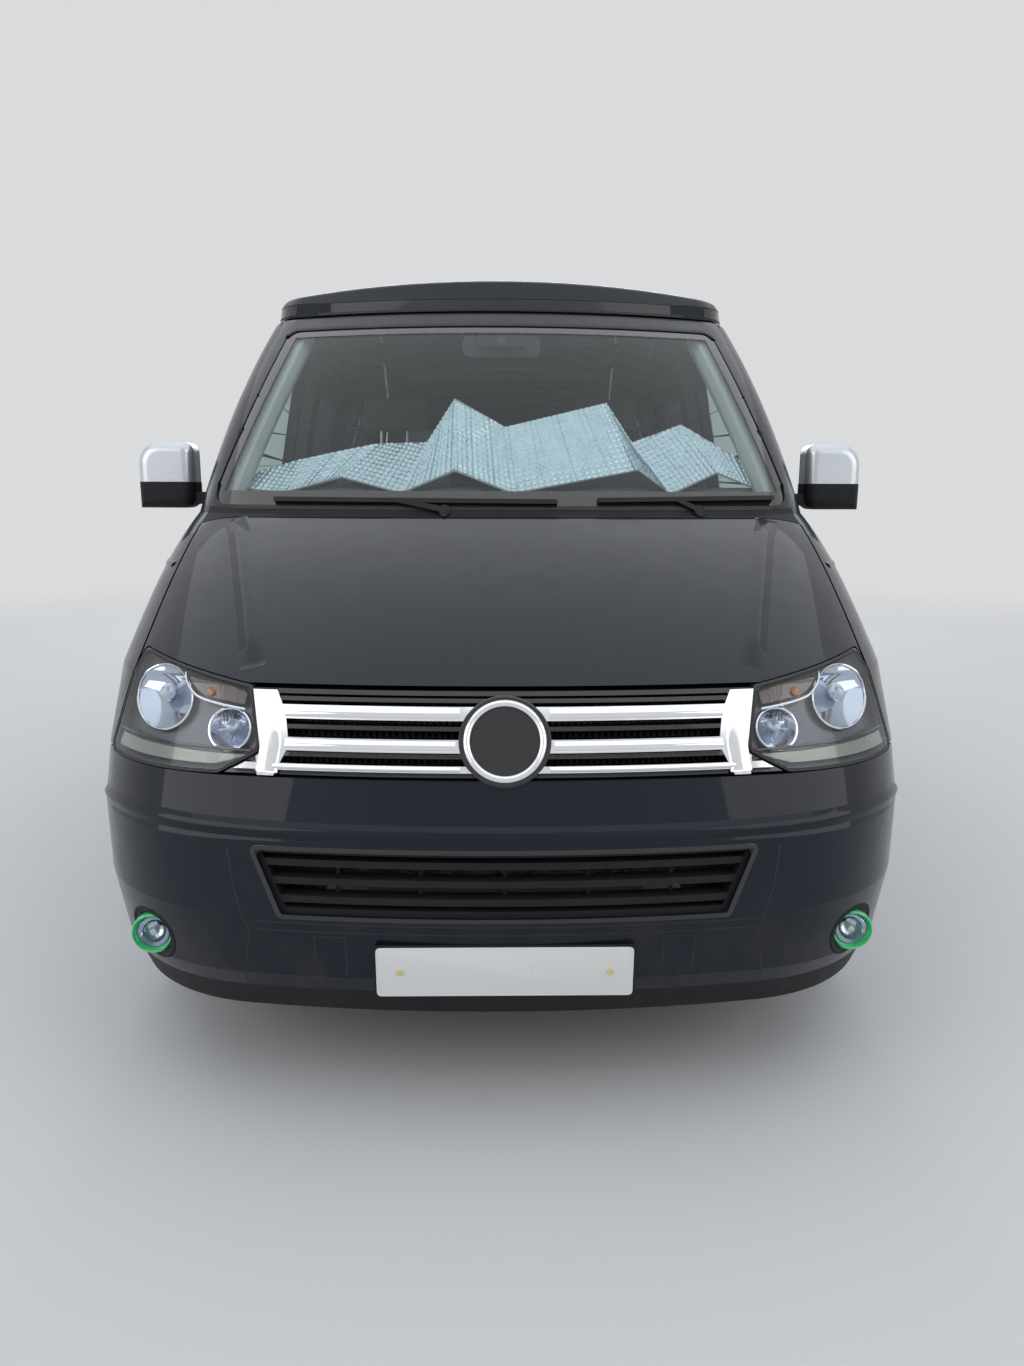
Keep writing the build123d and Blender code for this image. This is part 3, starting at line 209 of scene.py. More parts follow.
def foil_finish():
    """Metallised quilted film, wrinkled between its stitches."""
    f = Finish("quilted_foil", (0.46, 0.54, 0.59), 0.30, metal=0.85, coat=0.2)
    f.set("Base Color", f.mix(f.noise(30, 4), (0.34, 0.42, 0.48), (0.64, 0.72, 0.77)))
    f.set("Roughness", f.map(f.noise(60, 3), 0.3, 0.7, 0.20, 0.38))
    f.bump(f.noise(160, 3), 0.0003, 0.4)
    return f.mat


def plain_finish(name, colour, other, rough, metal=0, coat=0, grain=300, depth=0.0001, spec=0.4, scale=6):
    """Two near colours in soft patches, an uneven gloss and a fine grain."""
    f = Finish(name, colour, rough, metal, coat, spec)
    f.set("Base Color", f.mix(f.noise(scale, 4), colour, other))
    low, high = max(0.02, rough - 0.06), min(1, rough + 0.06)
    f.set("Roughness", f.map(f.noise(scale * 3, 4), 0.3, 0.7, low, high))
    if depth:
        f.bump(f.noise(grain, 2), depth, 0.5)
    return f.mat


def glass_finish(name, tint, printed=None, straight=0.035):
    """Thin glass: a tinted pass-through with a mirror of the surroundings, and a printed black border."""
    f = Finish(name, (0.02, 0.02, 0.02), 0.08, coat=0.6)
    clear = f.node("ShaderNodeBsdfTransparent", {0: tint}).outputs[0]
    shine = f.node("ShaderNodeBsdfGlossy", {"Roughness": 0.02}).outputs[0]
    facing = f.node("ShaderNodeLayerWeight", {"Blend": 0.5}).outputs["Facing"]
    edge = f.math("MULTIPLY", f.math("POWER", facing, 5.0), 0.75)
    top = f.join(f.math("ADD", edge, straight), clear, shine)
    if printed is not None:
        top = f.join(printed(f), top, f.bsdf.outputs[0])
    f.feed(f.out, top)
    return f.mat


# The windscreen's opening: heights of its base and top, and half widths there
SCREEN_BASE, SCREEN_TOP = 1.264, 1.836
SCREEN_HALF_BASE, SCREEN_HALF_TOP = 0.848, 0.706


def screen_border(f):
    """1 on the printed border of the windscreen, 0 on its clear part."""
    z = f.axis("Z")
    half = f.map(z, SCREEN_BASE, SCREEN_TOP, SCREEN_HALF_BASE - 0.032, SCREEN_HALF_TOP - 0.034)
    aside = f.math("SUBTRACT", half, f.math("ABSOLUTE", f.axis("X")))
    low = f.math("SUBTRACT", z, SCREEN_BASE + 0.045)
    high = f.math("SUBTRACT", SCREEN_TOP - 0.030, z)
    near = f.math("MINIMUM", aside, f.math("MINIMUM", low, high))
    return f.map(near, 0.0015, -0.0015)


# Two colours, roughness, metal, coat, grain, depth, specular and the size of patches
PLAIN = {
    "satin_silver": ((0.54, 0.57, 0.61), (0.64, 0.67, 0.7), 0.33, 0.65, 0.5, 900, 0.00002),
    "black_plastic": ((0.01, 0.01, 0.011), (0.019, 0.019, 0.02), 0.58, 0, 0, 700, 0.0002, 0.2),
    "gloss_black": ((0.006, 0.006, 0.007), (0.014, 0.014, 0.016), 0.14, 0, 0.7, 300, 0),
    "lamp_red": ((0.3, 0.006, 0.008), (0.42, 0.012, 0.012), 0.12, 0, 1, 300, 0),
    "lamp_tray": ((0.1, 0.105, 0.115), (0.17, 0.175, 0.19), 0.32, 0.4, 0, 300, 0),
    "tyre": ((0.018, 0.018, 0.019), (0.035, 0.034, 0.032), 0.72, 0, 0, 500, 0.0003, 0.3),
    "alloy": ((0.4, 0.41, 0.43), (0.52, 0.53, 0.55), 0.28, 0.9, 0.5, 300, 0.00003),
    "steel": ((0.06, 0.06, 0.06), (0.11, 0.105, 0.1), 0.6, 0.5, 0, 120, 0.0006),
    "underbody": ((0.02, 0.02, 0.022), (0.045, 0.043, 0.04), 0.7, 0, 0, 160, 0.0006),
    "trim_grey": ((0.045, 0.047, 0.05), (0.07, 0.072, 0.076), 0.6, 0, 0, 900, 0.0003),
    "seat_fabric": ((0.05, 0.052, 0.056), (0.1, 0.1, 0.105), 0.9, 0, 0, 1200, 0.0006),
    "roof_fabric": ((0.3, 0.31, 0.32), (0.38, 0.39, 0.4), 0.9, 0, 0, 1200, 0.0005),
    "reflector": ((0.45, 0.51, 0.61), (0.66, 0.71, 0.8), 0.09, 1, 0, 40, 0.0002),
    "signal": ((0.05, 0.04, 0.036), (0.11, 0.07, 0.05), 0.16, 0.6, 1, 300, 0),
    "lamp_olive": ((0.2, 0.21, 0.17), (0.28, 0.29, 0.24), 0.25, 0.3, 0.8, 250, 0.0002),
    "amber": ((0.55, 0.16, 0.01), (0.68, 0.22, 0.02), 0.15, 0, 1, 300, 0.0002),
    "clear_lens": ((0.62, 0.63, 0.64), (0.74, 0.75, 0.76), 0.15, 0, 1, 250, 0.0003),
    "green_ring": ((0.02, 0.42, 0.12), (0.05, 0.62, 0.2), 0.22, 0, 1, 300, 0),
    "rubber": ((0.01, 0.01, 0.011), (0.018, 0.018, 0.019), 0.5, 0, 0, 500),
    "plate_white": ((0.72, 0.72, 0.7), (0.78, 0.78, 0.76), 0.32, 0, 0.3, 600, 0.00002, 0.4, 3),
    "screw_cap": ((0.62, 0.52, 0.22), (0.7, 0.6, 0.3), 0.4, 0, 0, 300, 0.00005),
    "mirror": ((0.8, 0.82, 0.83), (0.86, 0.88, 0.89), 0.03, 1, 0, 300, 0),
    "hem": ((0.3, 0.32, 0.34), (0.38, 0.4, 0.42), 0.6, 0, 0, 900, 0.0003),
    "pale_trim": ((0.42, 0.43, 0.42), (0.5, 0.51, 0.5), 0.7, 0, 0, 700, 0.0003),
    "piping": ((0.03, 0.03, 0.033), (0.05, 0.05, 0.054), 0.7, 0, 0, 900, 0.0003),
    "wood": ((0.42, 0.33, 0.23), (0.55, 0.45, 0.33), 0.45, 0, 0, 60, 0.0002),
}
MAT = {name: plain_finish(name, *row) for name, row in PLAIN.items()}
MAT["paint"] = paint_finish()
MAT["chrome"] = chrome_finish()
MAT["foil"] = foil_finish()
MAT["glass"] = glass_finish("screen_glass", (0.90, 0.94, 0.94), screen_border, straight=0.028)
MAT["side_glass"] = glass_finish("side_glass", (0.80, 0.87, 0.86))
MAT["privacy_glass"] = glass_finish("privacy_glass", (0.16, 0.18, 0.19))
MAT["lens"] = glass_finish("lamp_lens", (0.96, 0.97, 0.98), straight=0.02)

ENDS = ("front", "rear")
SIDES = (("left", 1), ("right", -1))
WHEELS = [f"{end}_{name}" for end in ENDS for name, _ in SIDES]
FINISH_OF = {
    "glass": ["windscreen"],
    "side_glass": ["door_glass_left", "door_glass_right"],
    "privacy_glass": ["side_windows", "tailgate_glass"],
    "lens": ["headlamp_lenses"],
    "lamp_tray": ["headlamp_housings"],
    "lamp_red": ["tail_lamps"],
    "satin_silver": ["mirror_left", "mirror_right"],
    "chrome": ["grille_chrome"],
    "gloss_black": ["upper_grille"],
    "black_plastic": ["lower_grille", "front_lip", "cowl", "arch_liners", "fuel_tank", "fog_lamps", "wipers"],
    "foil": ["windscreen_blind"],
    "trim_grey": ["dashboard", "steering_wheel", "rear_view_mirror"],
    "seat_fabric": ["front_seats", "rear_bench"],
    "roof_fabric": ["roof_bellows"],
    "wood": ["furniture"],
    "underbody": ["body_frame_left", "body_frame_right", "front_carrier", "floor_pan", "bulkhead"],
    "steel": ["knuckle_left", "knuckle_right", "front_subframe", "rear_axle", "engine"],
    "alloy": ["radiator", "exhaust"] + [f"rim_{wheel}" for wheel in WHEELS],
    "tyre": [f"tyre_{wheel}" for wheel in WHEELS],
}
DRESSED = {name: finish for finish, names in FINISH_OF.items() for name in names}
for name in sorted(NODES):
    NODES[name].data.materials.clear()
    NODES[name].data.materials.append(MAT[DRESSED.get(name, "paint")])

# Mesh helpers. A form is a pair: its points, and its faces as indices of them.


def gather(*forms):
    """Several forms as one."""
    verts, faces = [], []
    for some, others in forms:
        start = len(verts)
        verts += [Vector(v) for v in some]
        faces += [tuple(k + start for k in face) for face in others]
    return verts, faces


def lattice(rows, columns, round_rows=False, round_columns=True):
    """Faces between rows of points, each row as long as the next."""
    faces = []
    for k in range(rows if round_rows else rows - 1):
        a, b = k * columns, (k + 1) % rows * columns
        for j in range(columns if round_columns else columns - 1):
            n = (j + 1) % columns
            faces.append((a + j, a + n, b + n, b + j))
    return faces


def lids(rows, columns):
    """The faces that close a lattice's first and last row."""
    return [tuple(range(columns))[::-1], tuple(range((rows - 1) * columns, rows * columns))]


# The record's slot for a finish, where their names differ
SLOT_OF = {
    "reflector": "chrome",
    "mirror": "chrome",
    "signal": "lamp_tray",
    "lamp_olive": "lamp_tray",
    "amber": "lens",
    "clear_lens": "lens",
    "green_ring": "lens",
    "screw_cap": "lens",
    "plate_white": "satin_silver",
    "rubber": "black_plastic",
    "pale_trim": "trim_grey",
    "piping": "seat_fabric",
    "hem": "foil",
}


def make(name, form, finish, body="body", slot=None, smooth=38.0, bevel=0.0, solid=0.0):
    """A piece in a finish that rides on a body, with its modifiers applied."""
    mesh = bpy.data.meshes.new(name)
    mesh.from_pydata([tuple(v) for v in form[0]], [], [tuple(f) for f in form[1]])
    mesh.validate()
    obj = bpy.data.objects.new(name, mesh)
    scene.collection.objects.link(obj)
    cleaned = bmesh.new()
    cleaned.from_mesh(mesh)
    bmesh.ops.remove_doubles(cleaned, verts=cleaned.verts, dist=1e-6)
    bmesh.ops.recalc_face_normals(cleaned, faces=cleaned.faces)
    cleaned.to_mesh(mesh)
    cleaned.free()
    if solid:
        mod = obj.modifiers.new("wall", "SOLIDIFY")
        mod.thickness = solid
    if bevel:
        mod = obj.modifiers.new("edge", "BEVEL")
        mod.width = bevel
        mod.segments = 2
        mod.limit_method = "ANGLE"
        mod.angle_limit = math.radians(35)
    if obj.modifiers:
        graph = bpy.context.evaluated_depsgraph_get()
        graph.update()
        done = bpy.data.meshes.new_from_object(obj.evaluated_get(graph))
        obj.modifiers.clear()
        obj.data = done
    for polygon in obj.data.polygons:
        polygon.use_smooth = True
    obj.data.set_sharp_from_angle(angle=math.radians(smooth))
    obj.data.materials.clear()
    obj.data.materials.append(MAT[finish])
    slot or SLOT_OF.get(finish, finish)
    if body:
        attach(obj, body)
    return obj


def across(direction):
    """Two unit vectors across a direction."""
    d = Vector(direction).normalized()
    other = Vector((0, 0, 1)) if abs(d.z) < 0.9 else Vector((1, 0, 0))
    a = d.cross(other).normalized()
    return a, d.cross(a).normalized()


def turned(profile, centre, direction, steps=48):
    """(radius, distance along) points turned about an axis."""
    d = Vector(direction).normalized()
    a, b = across(d)
    c = Vector(centre)
    verts, rings, faces = [], [], []
    for radius, along in profile:
        if radius < 1e-7:
            rings.append([len(verts)] * steps)
            verts.append(c + d * along)
            continue
        rings.append([len(verts) + k for k in range(steps)])
        for k in range(steps):
            t = 2 * math.pi * k / steps
            verts.append(c + d * along + (a * math.cos(t) + b * math.sin(t)) * radius)
    for low, high in zip(rings, rings[1:]):
        for k in range(steps):
            n = (k + 1) % steps
            face = tuple(dict.fromkeys((low[k], low[n], high[n], high[k])))
            if len(face) > 2:
                faces.append(face)
    return verts, faces


def swept(path, radius=0.0, sides=8, closed=False, section=None):
    """A round or given section of (across, up) points along a path."""
    path = [Vector(p) for p in path]
    count = len(path)
    ring = section or oval(0, 0, radius, radius, sides)
    verts = []
    up = None
    for k, p in enumerate(path):
        before = path[(k - 1) % count] if closed or k else p
        after = path[(k + 1) % count] if closed or k < count - 1 else p
        d = (after - before).normalized()
        if up is None:
            up = across(d)[1]
        side = d.cross(up).normalized()
        up = side.cross(d).normalized()
        verts += [p + side * u + up * v for u, v in ring]
    faces = lattice(count, len(ring), round_rows=closed)
    return verts, faces if closed else faces + lids(count, len(ring))


def drawn(outline, depth, place):
    """A flat outline drawn out; place maps (u, v, w) to the frame."""
    verts = [place(u, v, w) for w in (0, depth) for u, v in outline]
    return verts, lids(2, len(outline)) + lattice(2, len(outline))


def boxed(low, high):
    x0, y0, z0 = low
    x1, y1, z1 = high
    return drawn([(x0, y0), (x1, y0), (x1, y1), (x0, y1)], z1 - z0, lambda u, v, w: Vector((u, v, z0 + w)))


def inside(point, outline):
    x, y = point
    found = False
    for (x0, y0), (x1, y1) in zip(outline, outline[1:] + outline[:1]):
        if (y0 > y) != (y1 > y) and x < (x1 - x0) * (y - y0) / (y1 - y0) + x0:
            found = not found
    return found


def run(points, step=0.02):
    """Flat points with more between them, so that none is further on than step."""
    out = []
    for a, b in zip(points, points[1:]):
        count = max(1, math.ceil(math.dist(a, b) / step))
        out += [(a[0] + (b[0] - a[0]) * k / count, a[1] + (b[1] - a[1]) * k / count) for k in range(count)]
    return out + [points[-1]]


def dense(outline, step):
    """The same for a closed outline."""
    return run(outline + outline[:1], step)[:-1]


def filled(outline, place, step, holes=()):
    """A surface over a flat outline, fine enough to bend; place maps (u, v) to the frame."""
    rim = dense(list(outline), step)
    points, edges = [], []
    for loop in [rim, *holes]:
        start = len(points)
        points += [Vector(p) for p in loop]
        edges += [(start + k, start + (k + 1) % len(loop)) for k in range(len(loop))]

    def solid(p):
        return inside(p, rim) and not any(inside(p, hole) for hole in holes)

    u = min(p[0] for p in rim) + step / 2
    while u < max(p[0] for p in rim):
        v = min(p[1] for p in rim) + step / 2
        while v < max(p[1] for p in rim):
            far = min((Vector((u, v)) - q).length for q in points[: len(rim)])
            if far > step * 0.4 and solid((u, v)):
                points.append(Vector((u, v)))
            v += step
        u += step
    found, _, faces, *_ = delaunay_2d_cdt(points, edges, [], 0, 1e-7)
    kept = [tuple(f) for f in faces if solid(sum((found[k] for k in f), Vector((0, 0))) / len(f))]
    return [place(p[0], p[1]) for p in found], kept


CORNER_STEPS = 6


def oval(cu, cv, ru, rv, steps=48):
    return [
        (cu + ru * math.cos(2 * math.pi * k / steps), cv + rv * math.sin(2 * math.pi * k / steps))
        for k in range(steps)
    ]


def rounded(outline, radius):
    """The outline with its corners rounded."""
    out = []
    n = len(outline)
    for k in range(n):
        before, p, after = (Vector(outline[(k + j) % n]) for j in (-1, 0, 1))
        a = (before - p).normalized()
        b = (after - p).normalized()
        reach = min(radius / math.tan(a.angle(b) / 2), (before - p).length / 2, (after - p).length / 2)
        for j in range(CORNER_STEPS + 1):
            t = j / CORNER_STEPS
            q = (p + a * reach) * (1 - t) ** 2 + p * 2 * t * (1 - t) + (p + b * reach) * t * t
            out.append(tuple(q))
    return out


def oblong(width, height, radius):
    w, h = width / 2, height / 2
    return rounded([(-w, -h), (w, -h), (w, h), (-w, h)], radius)


def curve(points, steps=8):
    """A smooth line through the points."""
    points = [Vector(p) for p in points]
    out = []
    for k in range(len(points) - 1):
        p0, p1, p2, p3 = (points[min(max(k + j, 0), len(points) - 1)] for j in (-1, 0, 1, 2))
        for j in range(steps):
            t = j / steps
            a = 2 * p0 - 5 * p1 + 4 * p2 - p3
            b = 3 * p1 - p0 - 3 * p2 + p3
            out.append(0.5 * (2 * p1 + (p2 - p0) * t + a * t * t + b * t**3))
    return out + [points[-1]]


TREES = {}


def touch(start, direction, names):
    """Where a line meets CAD nodes, with the normal there; None where it misses."""
    if names not in TREES:
        made = bmesh.new()
        for name in names:
            made.from_mesh(NODES[name].data)
        bmesh.ops.triangulate(made, faces=made.faces)
        TREES[names] = BVHTree.FromBMesh(made)
        made.free()
    d = Vector(direction)
    hit, normal, _, _ = TREES[names].ray_cast(Vector(start), d)
    if hit is None:
        return None
    return hit, -normal if normal.dot(d) > 0 else normal


def from_front(x, z, *names):
    return touch((x, -4.0, z), (0, 1, 0), names)


def from_rear(x, z, *names):
    return touch((x, 4.0, z), (0, -1, 0), names)


def from_side(side):
    return lambda s, z, *names: touch((side * 3.0, at(s), z), (-side, 0, 0), names)


def from_above(x, s, *names):
    return touch((x, at(s), 3.0), (0, 0, -1), names)


FLAT = ((-1, -0.4), (-1, 0.6), (-0.7, 1), (0.7, 1), (1, 0.6), (1, -0.4))
CREASE = ((-1, -0.25), (-0.7, 0.1), (-0.35, 0.65), (0, 1), (0.35, 0.65), (0.7, 0.1), (1, -0.25))


def band(line, cast, names, width, height, section=FLAT, closed=False, fade=0.0):
    """A low band along a line on the nodes' surface; fade is the share of its length that rises."""
    found = [q for q in (cast(*p, *names) for p in line) if q is not None]
    verts = []
    n, m = len(found), len(section)
    for k, (p, normal) in enumerate(found):
        before = found[(k - 1) % n if closed else max(k - 1, 0)][0]
        after = found[(k + 1) % n if closed else min(k + 1, n - 1)][0]
        side = (after - before).normalized().cross(normal).normalized()
        rise = min(1.0, k / (n - 1) / fade, (n - 1 - k) / (n - 1) / fade) if fade else 1.0
        verts += [p + side * (u * width / 2) + normal * (v * height * rise) for u, v in section]
    faces = lattice(n, m, round_rows=closed)
    return verts, faces if closed else faces + lids(n, m)


def strip(points, cast, names, *shape, step=0.04):
    """A band along straight stretches between points."""
    return band(run(points, step), cast, names, *shape)


def border(outline, radius, cast, names, width, height, step=0.03):
    """A band round an outline whose corners are rounded."""
    return band(dense(rounded(outline, radius), step), cast, names, width, height, closed=True)


def plane(axis, value, way):
    """A cutting plane across an axis, which keeps what lies the way it points."""
    place, normal = Vector(), Vector()
    place[axis], normal[axis] = value, way
    return place, normal


def cover(node, planes, lift, keep=None):
    """A thin skin over the faces of a CAD node within some planes."""
    made = bmesh.new()
    made.from_mesh(NODES[node].data)
    bmesh.ops.remove_doubles(made, verts=made.verts, dist=1e-6)
    for place, normal in planes:
        geom = made.verts[:] + made.edges[:] + made.faces[:]
        bmesh.ops.bisect_plane(made, geom=geom, plane_co=place, plane_no=normal, clear_inner=True)
    made.normal_update()
    if keep is not None:
        bmesh.ops.delete(made, geom=[f for f in made.faces if not keep(f)], context="FACES")
    made.normal_update()
    for v in made.verts:
        v.co += v.normal * lift
        v.co.x = min(max(v.co.x, CAD_BOX[0][0]), CAD_BOX[1][0])
    made.verts.index_update()
    form = [v.co.copy() for v in made.verts], [tuple(v.index for v in f.verts) for f in made.faces]
    made.free()
    return form


# The body's front below the bonnet's middle: height, nose setback, half width, corner radius

SECTIONS = (
    (0.230, 0.075, 0.878, 0.400),
    (0.330, 0.022, 0.910, 0.440),
    (0.470, 0.000, 0.932, 0.455),
    (0.620, 0.018, 0.945, 0.460),
    (0.742, 0.062, 0.946, 0.470),
    (0.905, 0.165, 0.945, 0.480),
    (1.020, 0.365, 0.941, 0.430),
)
BOW_CENTRE_S = 3.4


def nose_y(x, z):
    """Y of the body's front surface."""
    z = min(max(z, SECTIONS[0][0]), SECTIONS[-1][0])
    low, high = next((a, b) for a, b in zip(SECTIONS, SECTIONS[1:]) if a[0] <= z <= b[0])
    t = (z - low[0]) / (high[0] - low[0])
    setback, half, corner = (low[k] + (high[k] - low[k]) * t for k in (1, 2, 3))
    x = min(abs(x), half - 0.001)
    big = BOW_CENTRE_S - setback
    fx = half - corner
    if x <= fx * big / (big - corner):
        return at(BOW_CENTRE_S - math.sqrt(big * big - x * x))
    fs = BOW_CENTRE_S - math.sqrt((big - corner) ** 2 - fx**2)
    return at(fs - math.sqrt(corner**2 - (x - fx) ** 2))


BACKWARDS = Vector((0, 1, 0))

# Headlamps: everything behind the lens is placed by its depth behind the body's front

LAMP = ((0.530, 0.906), (0.832, 0.952), (0.889, 0.738), (0.585, 0.744), (0.500, 0.786))
MAIN = (0.752, 0.862, 0.080, 0.062)
INNER = (0.578, 0.816, 0.046, 0.040)


def behind(side, depth):
    return lambda x, z: Vector((side * x, nose_y(x, z) + (depth(x, z) if callable(depth) else depth), z))


def shrunk(outline, factor):
    cx = sum(p[0] for p in outline) / len(outline)
    cz = sum(p[1] for p in outline) / len(outline)
    return [(cx + (x - cx) * factor, cz + (z - cz) * factor) for x, z in outline]


def reflector(side, place, base, deep, flutes=0.0, steps=72, rings=16):
    """A bowl whose rim follows the lens, with upright flutes."""
    cx, cz, rx, rz = place
    verts = []
    for j in range(rings + 1):
        r = j / rings
        for x, z in oval(cx, cz, rx * r, rz * r, steps):
            flute = flutes * abs(math.sin((x - cx) * 520)) * min(1, 4 * r) * (1 - r**4)
            verts.append(behind(side, base + deep * (1 - r * r) + flute)(x, z))
    return verts, lattice(rings + 1, steps)


def headlamp(name, side):
    def part(kind, form, finish, **extra):
        make(f"lamp_{kind}_{name}", form, finish, **extra)

    room = rounded(shrunk(LAMP, 0.955), 0.016)
    holes = [oval(*MAIN), oval(*INNER)]
    part("bezel", filled(room, behind(side, 0.046), 0.014, holes), "lamp_tray", solid=0.002)
    part("bowl", reflector(side, MAIN, 0.034, 0.052), "reflector")
    part("small_bowl", reflector(side, INNER, 0.032, 0.042, 0.0035), "reflector")
    rims, shields = [], []
    for place, rim, start, size in ((MAIN, 0.0032, 0.078, 0.017), (INNER, 0.0030, 0.066, 0.011)):
        rims.append(swept([behind(side, 0.031)(*p) for p in oval(*place, 64)], rim, closed=True))
        profile = [(0, -0.034), (size * 0.7, -0.031), (size, -0.022), (size, -0.004), (size * 1.25, 0)]
        shields.append(turned(profile, behind(side, start)(*place[:2]), BACKWARDS, 28))
    corner = [(0.702, 0.929), (0.690, 0.905), (0.668, 0.882), (0.645, 0.872), (0.600, 0.864), (0.545, 0.857)]
    rims.append(swept(curve([behind(side, 0.020)(*p) for p in corner]), 0.0030))
    part("rims", gather(*rims), "chrome")
    top = [(0.545, 0.901), (0.692, 0.924), (0.682, 0.903), (0.662, 0.886), (0.640, 0.877), (0.548, 0.864)]
    ribs = behind(side, lambda x, z: 0.026 + 0.0018 * abs(math.sin(x * 330)))
    part("signal", filled(rounded(top, 0.006), ribs, 0.004), "signal")
    low = [(0.522, 0.775), (0.852, 0.779), (0.862, 0.752), (0.600, 0.756), (0.545, 0.770)]
    part("strip", filled(rounded(low, 0.004), behind(side, 0.014), 0.012), "lamp_olive")
    line = [behind(side, 0.010)(*p) for p in run([(0.520, 0.783), (0.600, 0.786), (0.856, 0.787)])]
    part("line", swept(line, 0.0036), "gloss_black")
    part("shields", gather(*shields), "satin_silver")
    bulb = [(0, -0.012), (0.006, -0.010), (0.009, 0), (0.009, 0.012)]
    part("signal_bulbs", turned(bulb, behind(side, 0.026)(0.628, 0.886), BACKWARDS, 20), "amber")
    edge = [(side * x, z) for x, z in shrunk(LAMP, 0.975)]
    part("seal", border(edge, 0.020, from_front, ("headlamp_lenses",), 0.007, 0.0012, 0.012), "rubber")


for name, side in SIDES:
    headlamp(name, side)

# Grille: woven mesh in the openings, bright bars, and the ring round a blank dish

BADGE = Vector((0, at(0.098), 0.812))
BADGE_LEAN = math.radians(22)
BADGE_OUT = Vector((0, -math.cos(BADGE_LEAN), math.sin(BADGE_LEAN)))
BADGE_ROOM = 0.088
MESH_BASE = 0.722
MESH_PITCH, MESH_RISE, MESH_WAVE = 0.0135, 0.0098, 0.0034


def grille_mesh():
    """Pairs of upright wires that meet and part, clear of the dish."""
    wires = []
    for k in range(-74, 75):
        for lean in (-1, 1):
            line = []
            for j in range(19):
                z = MESH_BASE + j * MESH_RISE
                x = k * MESH_PITCH + lean * MESH_WAVE * (1 if j % 2 else -1)
                limit = 0.505 if z > 0.79 else 0.48
                if abs(x) < limit and math.hypot(x, z - BADGE.z) > BADGE_ROOM:
                    line.append(behind(1, 0.031)(x, z))
            if len(line) > 2:
                wires.append(swept(line, 0.0013, sides=4))
    return gather(*wires)


# A bar's section, and each bar's height, half width and ends
BAR = (
    (-1, -0.6), (-0.96, 0.25), (-0.80, 0.62), (-0.30, 0.88),
    (0.25, 1.0), (0.62, 0.72), (0.90, 0.15), (1, -0.6),
)
BARS = ((0.862, 0.0128, 0.092, 0.452), (0.803, 0.0118, 0.100, 0.448), (0.762, 0.0058, 0.090, 0.470))
UPRIGHT = ((0.483, 0.752), (0.480, 0.775), (0.478, 0.803), (0.480, 0.832), (0.487, 0.862), (0.499, 0.890))


def chrome_bars():
    """Rounded faces on the bright bars, stopping short of the dish, and on the side uprights."""
    forms = []
    for z, half, x0, x1 in BARS:
        for _, side in SIDES:
            line = run([(side * x0, z), (side * x1, z)])[::side]
            forms.append(band(line, from_front, ("grille_chrome",), half * 2, 0.0045, BAR))
    for _, side in SIDES:
        line = [(v.x, v.y) for v in curve([(x * side, z, 0) for x, z in UPRIGHT], 4)][::-side]
        forms.append(band(line, from_front, ("grille_chrome",), 0.046, 0.0042, BAR))
    return gather(*forms)


make("grille_mesh", grille_mesh(), "black_plastic")
make("grille_bar_faces", chrome_bars(), "chrome")
BADGE_PARTS = (
    ("surround", "gloss_black",
        [(0.083, 0.0105), (0.084, 0.0125), (0.0905, 0.0125), (0.0935, 0.010), (0.094, -0.012)]),
    ("ring", "chrome",
        [(0.0835, 0.0135), (0.0805, 0.0162), (0.077, 0.017), (0.0735, 0.0162), (0.0708, 0.0135)]),
    ("dish", "gloss_black",
        [(0.0705, 0.0085), (0.066, 0.0092), (0.050, 0.011), (0.030, 0.0124), (0, 0.013)]),
)
for part, finish, profile in BADGE_PARTS:
    make(f"badge_{part}", turned(profile, BADGE, BADGE_OUT, 96), finish)

# Bumper: ledge under the lamps, seams, fog lamps and the blank plate

BUMPER = ("front_bumper",)
HALF_LEDGE = [(0.0, 0.638), (0.40, 0.640), (0.62, 0.646), (0.76, 0.648), (0.84, 0.646), (0.90, 0.640)]
SEAMS = (
    [(0.560, 0.604), (0.548, 0.52), (0.520, 0.43), (0.536, 0.33), (0.540, 0.300)],
    [(0.322, 0.425), (0.322, 0.300)],
    [(0.322, 0.425), (0.386, 0.425), (0.386, 0.300)],
)
ledge = run([(-x, z) for x, z in reversed(HALF_LEDGE)] + HALF_LEDGE[1:])
make("bumper_ledge", band(ledge, from_front, BUMPER, 0.046, 0.007, CREASE), "paint")
lines = [run([(side * x, z) for x, z in points]) for _, side in SIDES for points in SEAMS]
lines += [run([(-0.515, z), (0.515, z)], 0.04) for z in (0.455, 0.436)]
seams = [band(line, from_front, BUMPER, 0.0034, 0.0004) for line in lines]
make("bumper_seams", gather(*seams), "rubber")
LOWER_GRILLE = [(-0.512, 0.606), (0.512, 0.606), (0.454, 0.468), (-0.454, 0.468)]
surround = border(LOWER_GRILLE, 0.01, from_front, BUMPER, 0.010, 0.0006, 0.02)
make("lower_grille_frame", surround, "gloss_black")

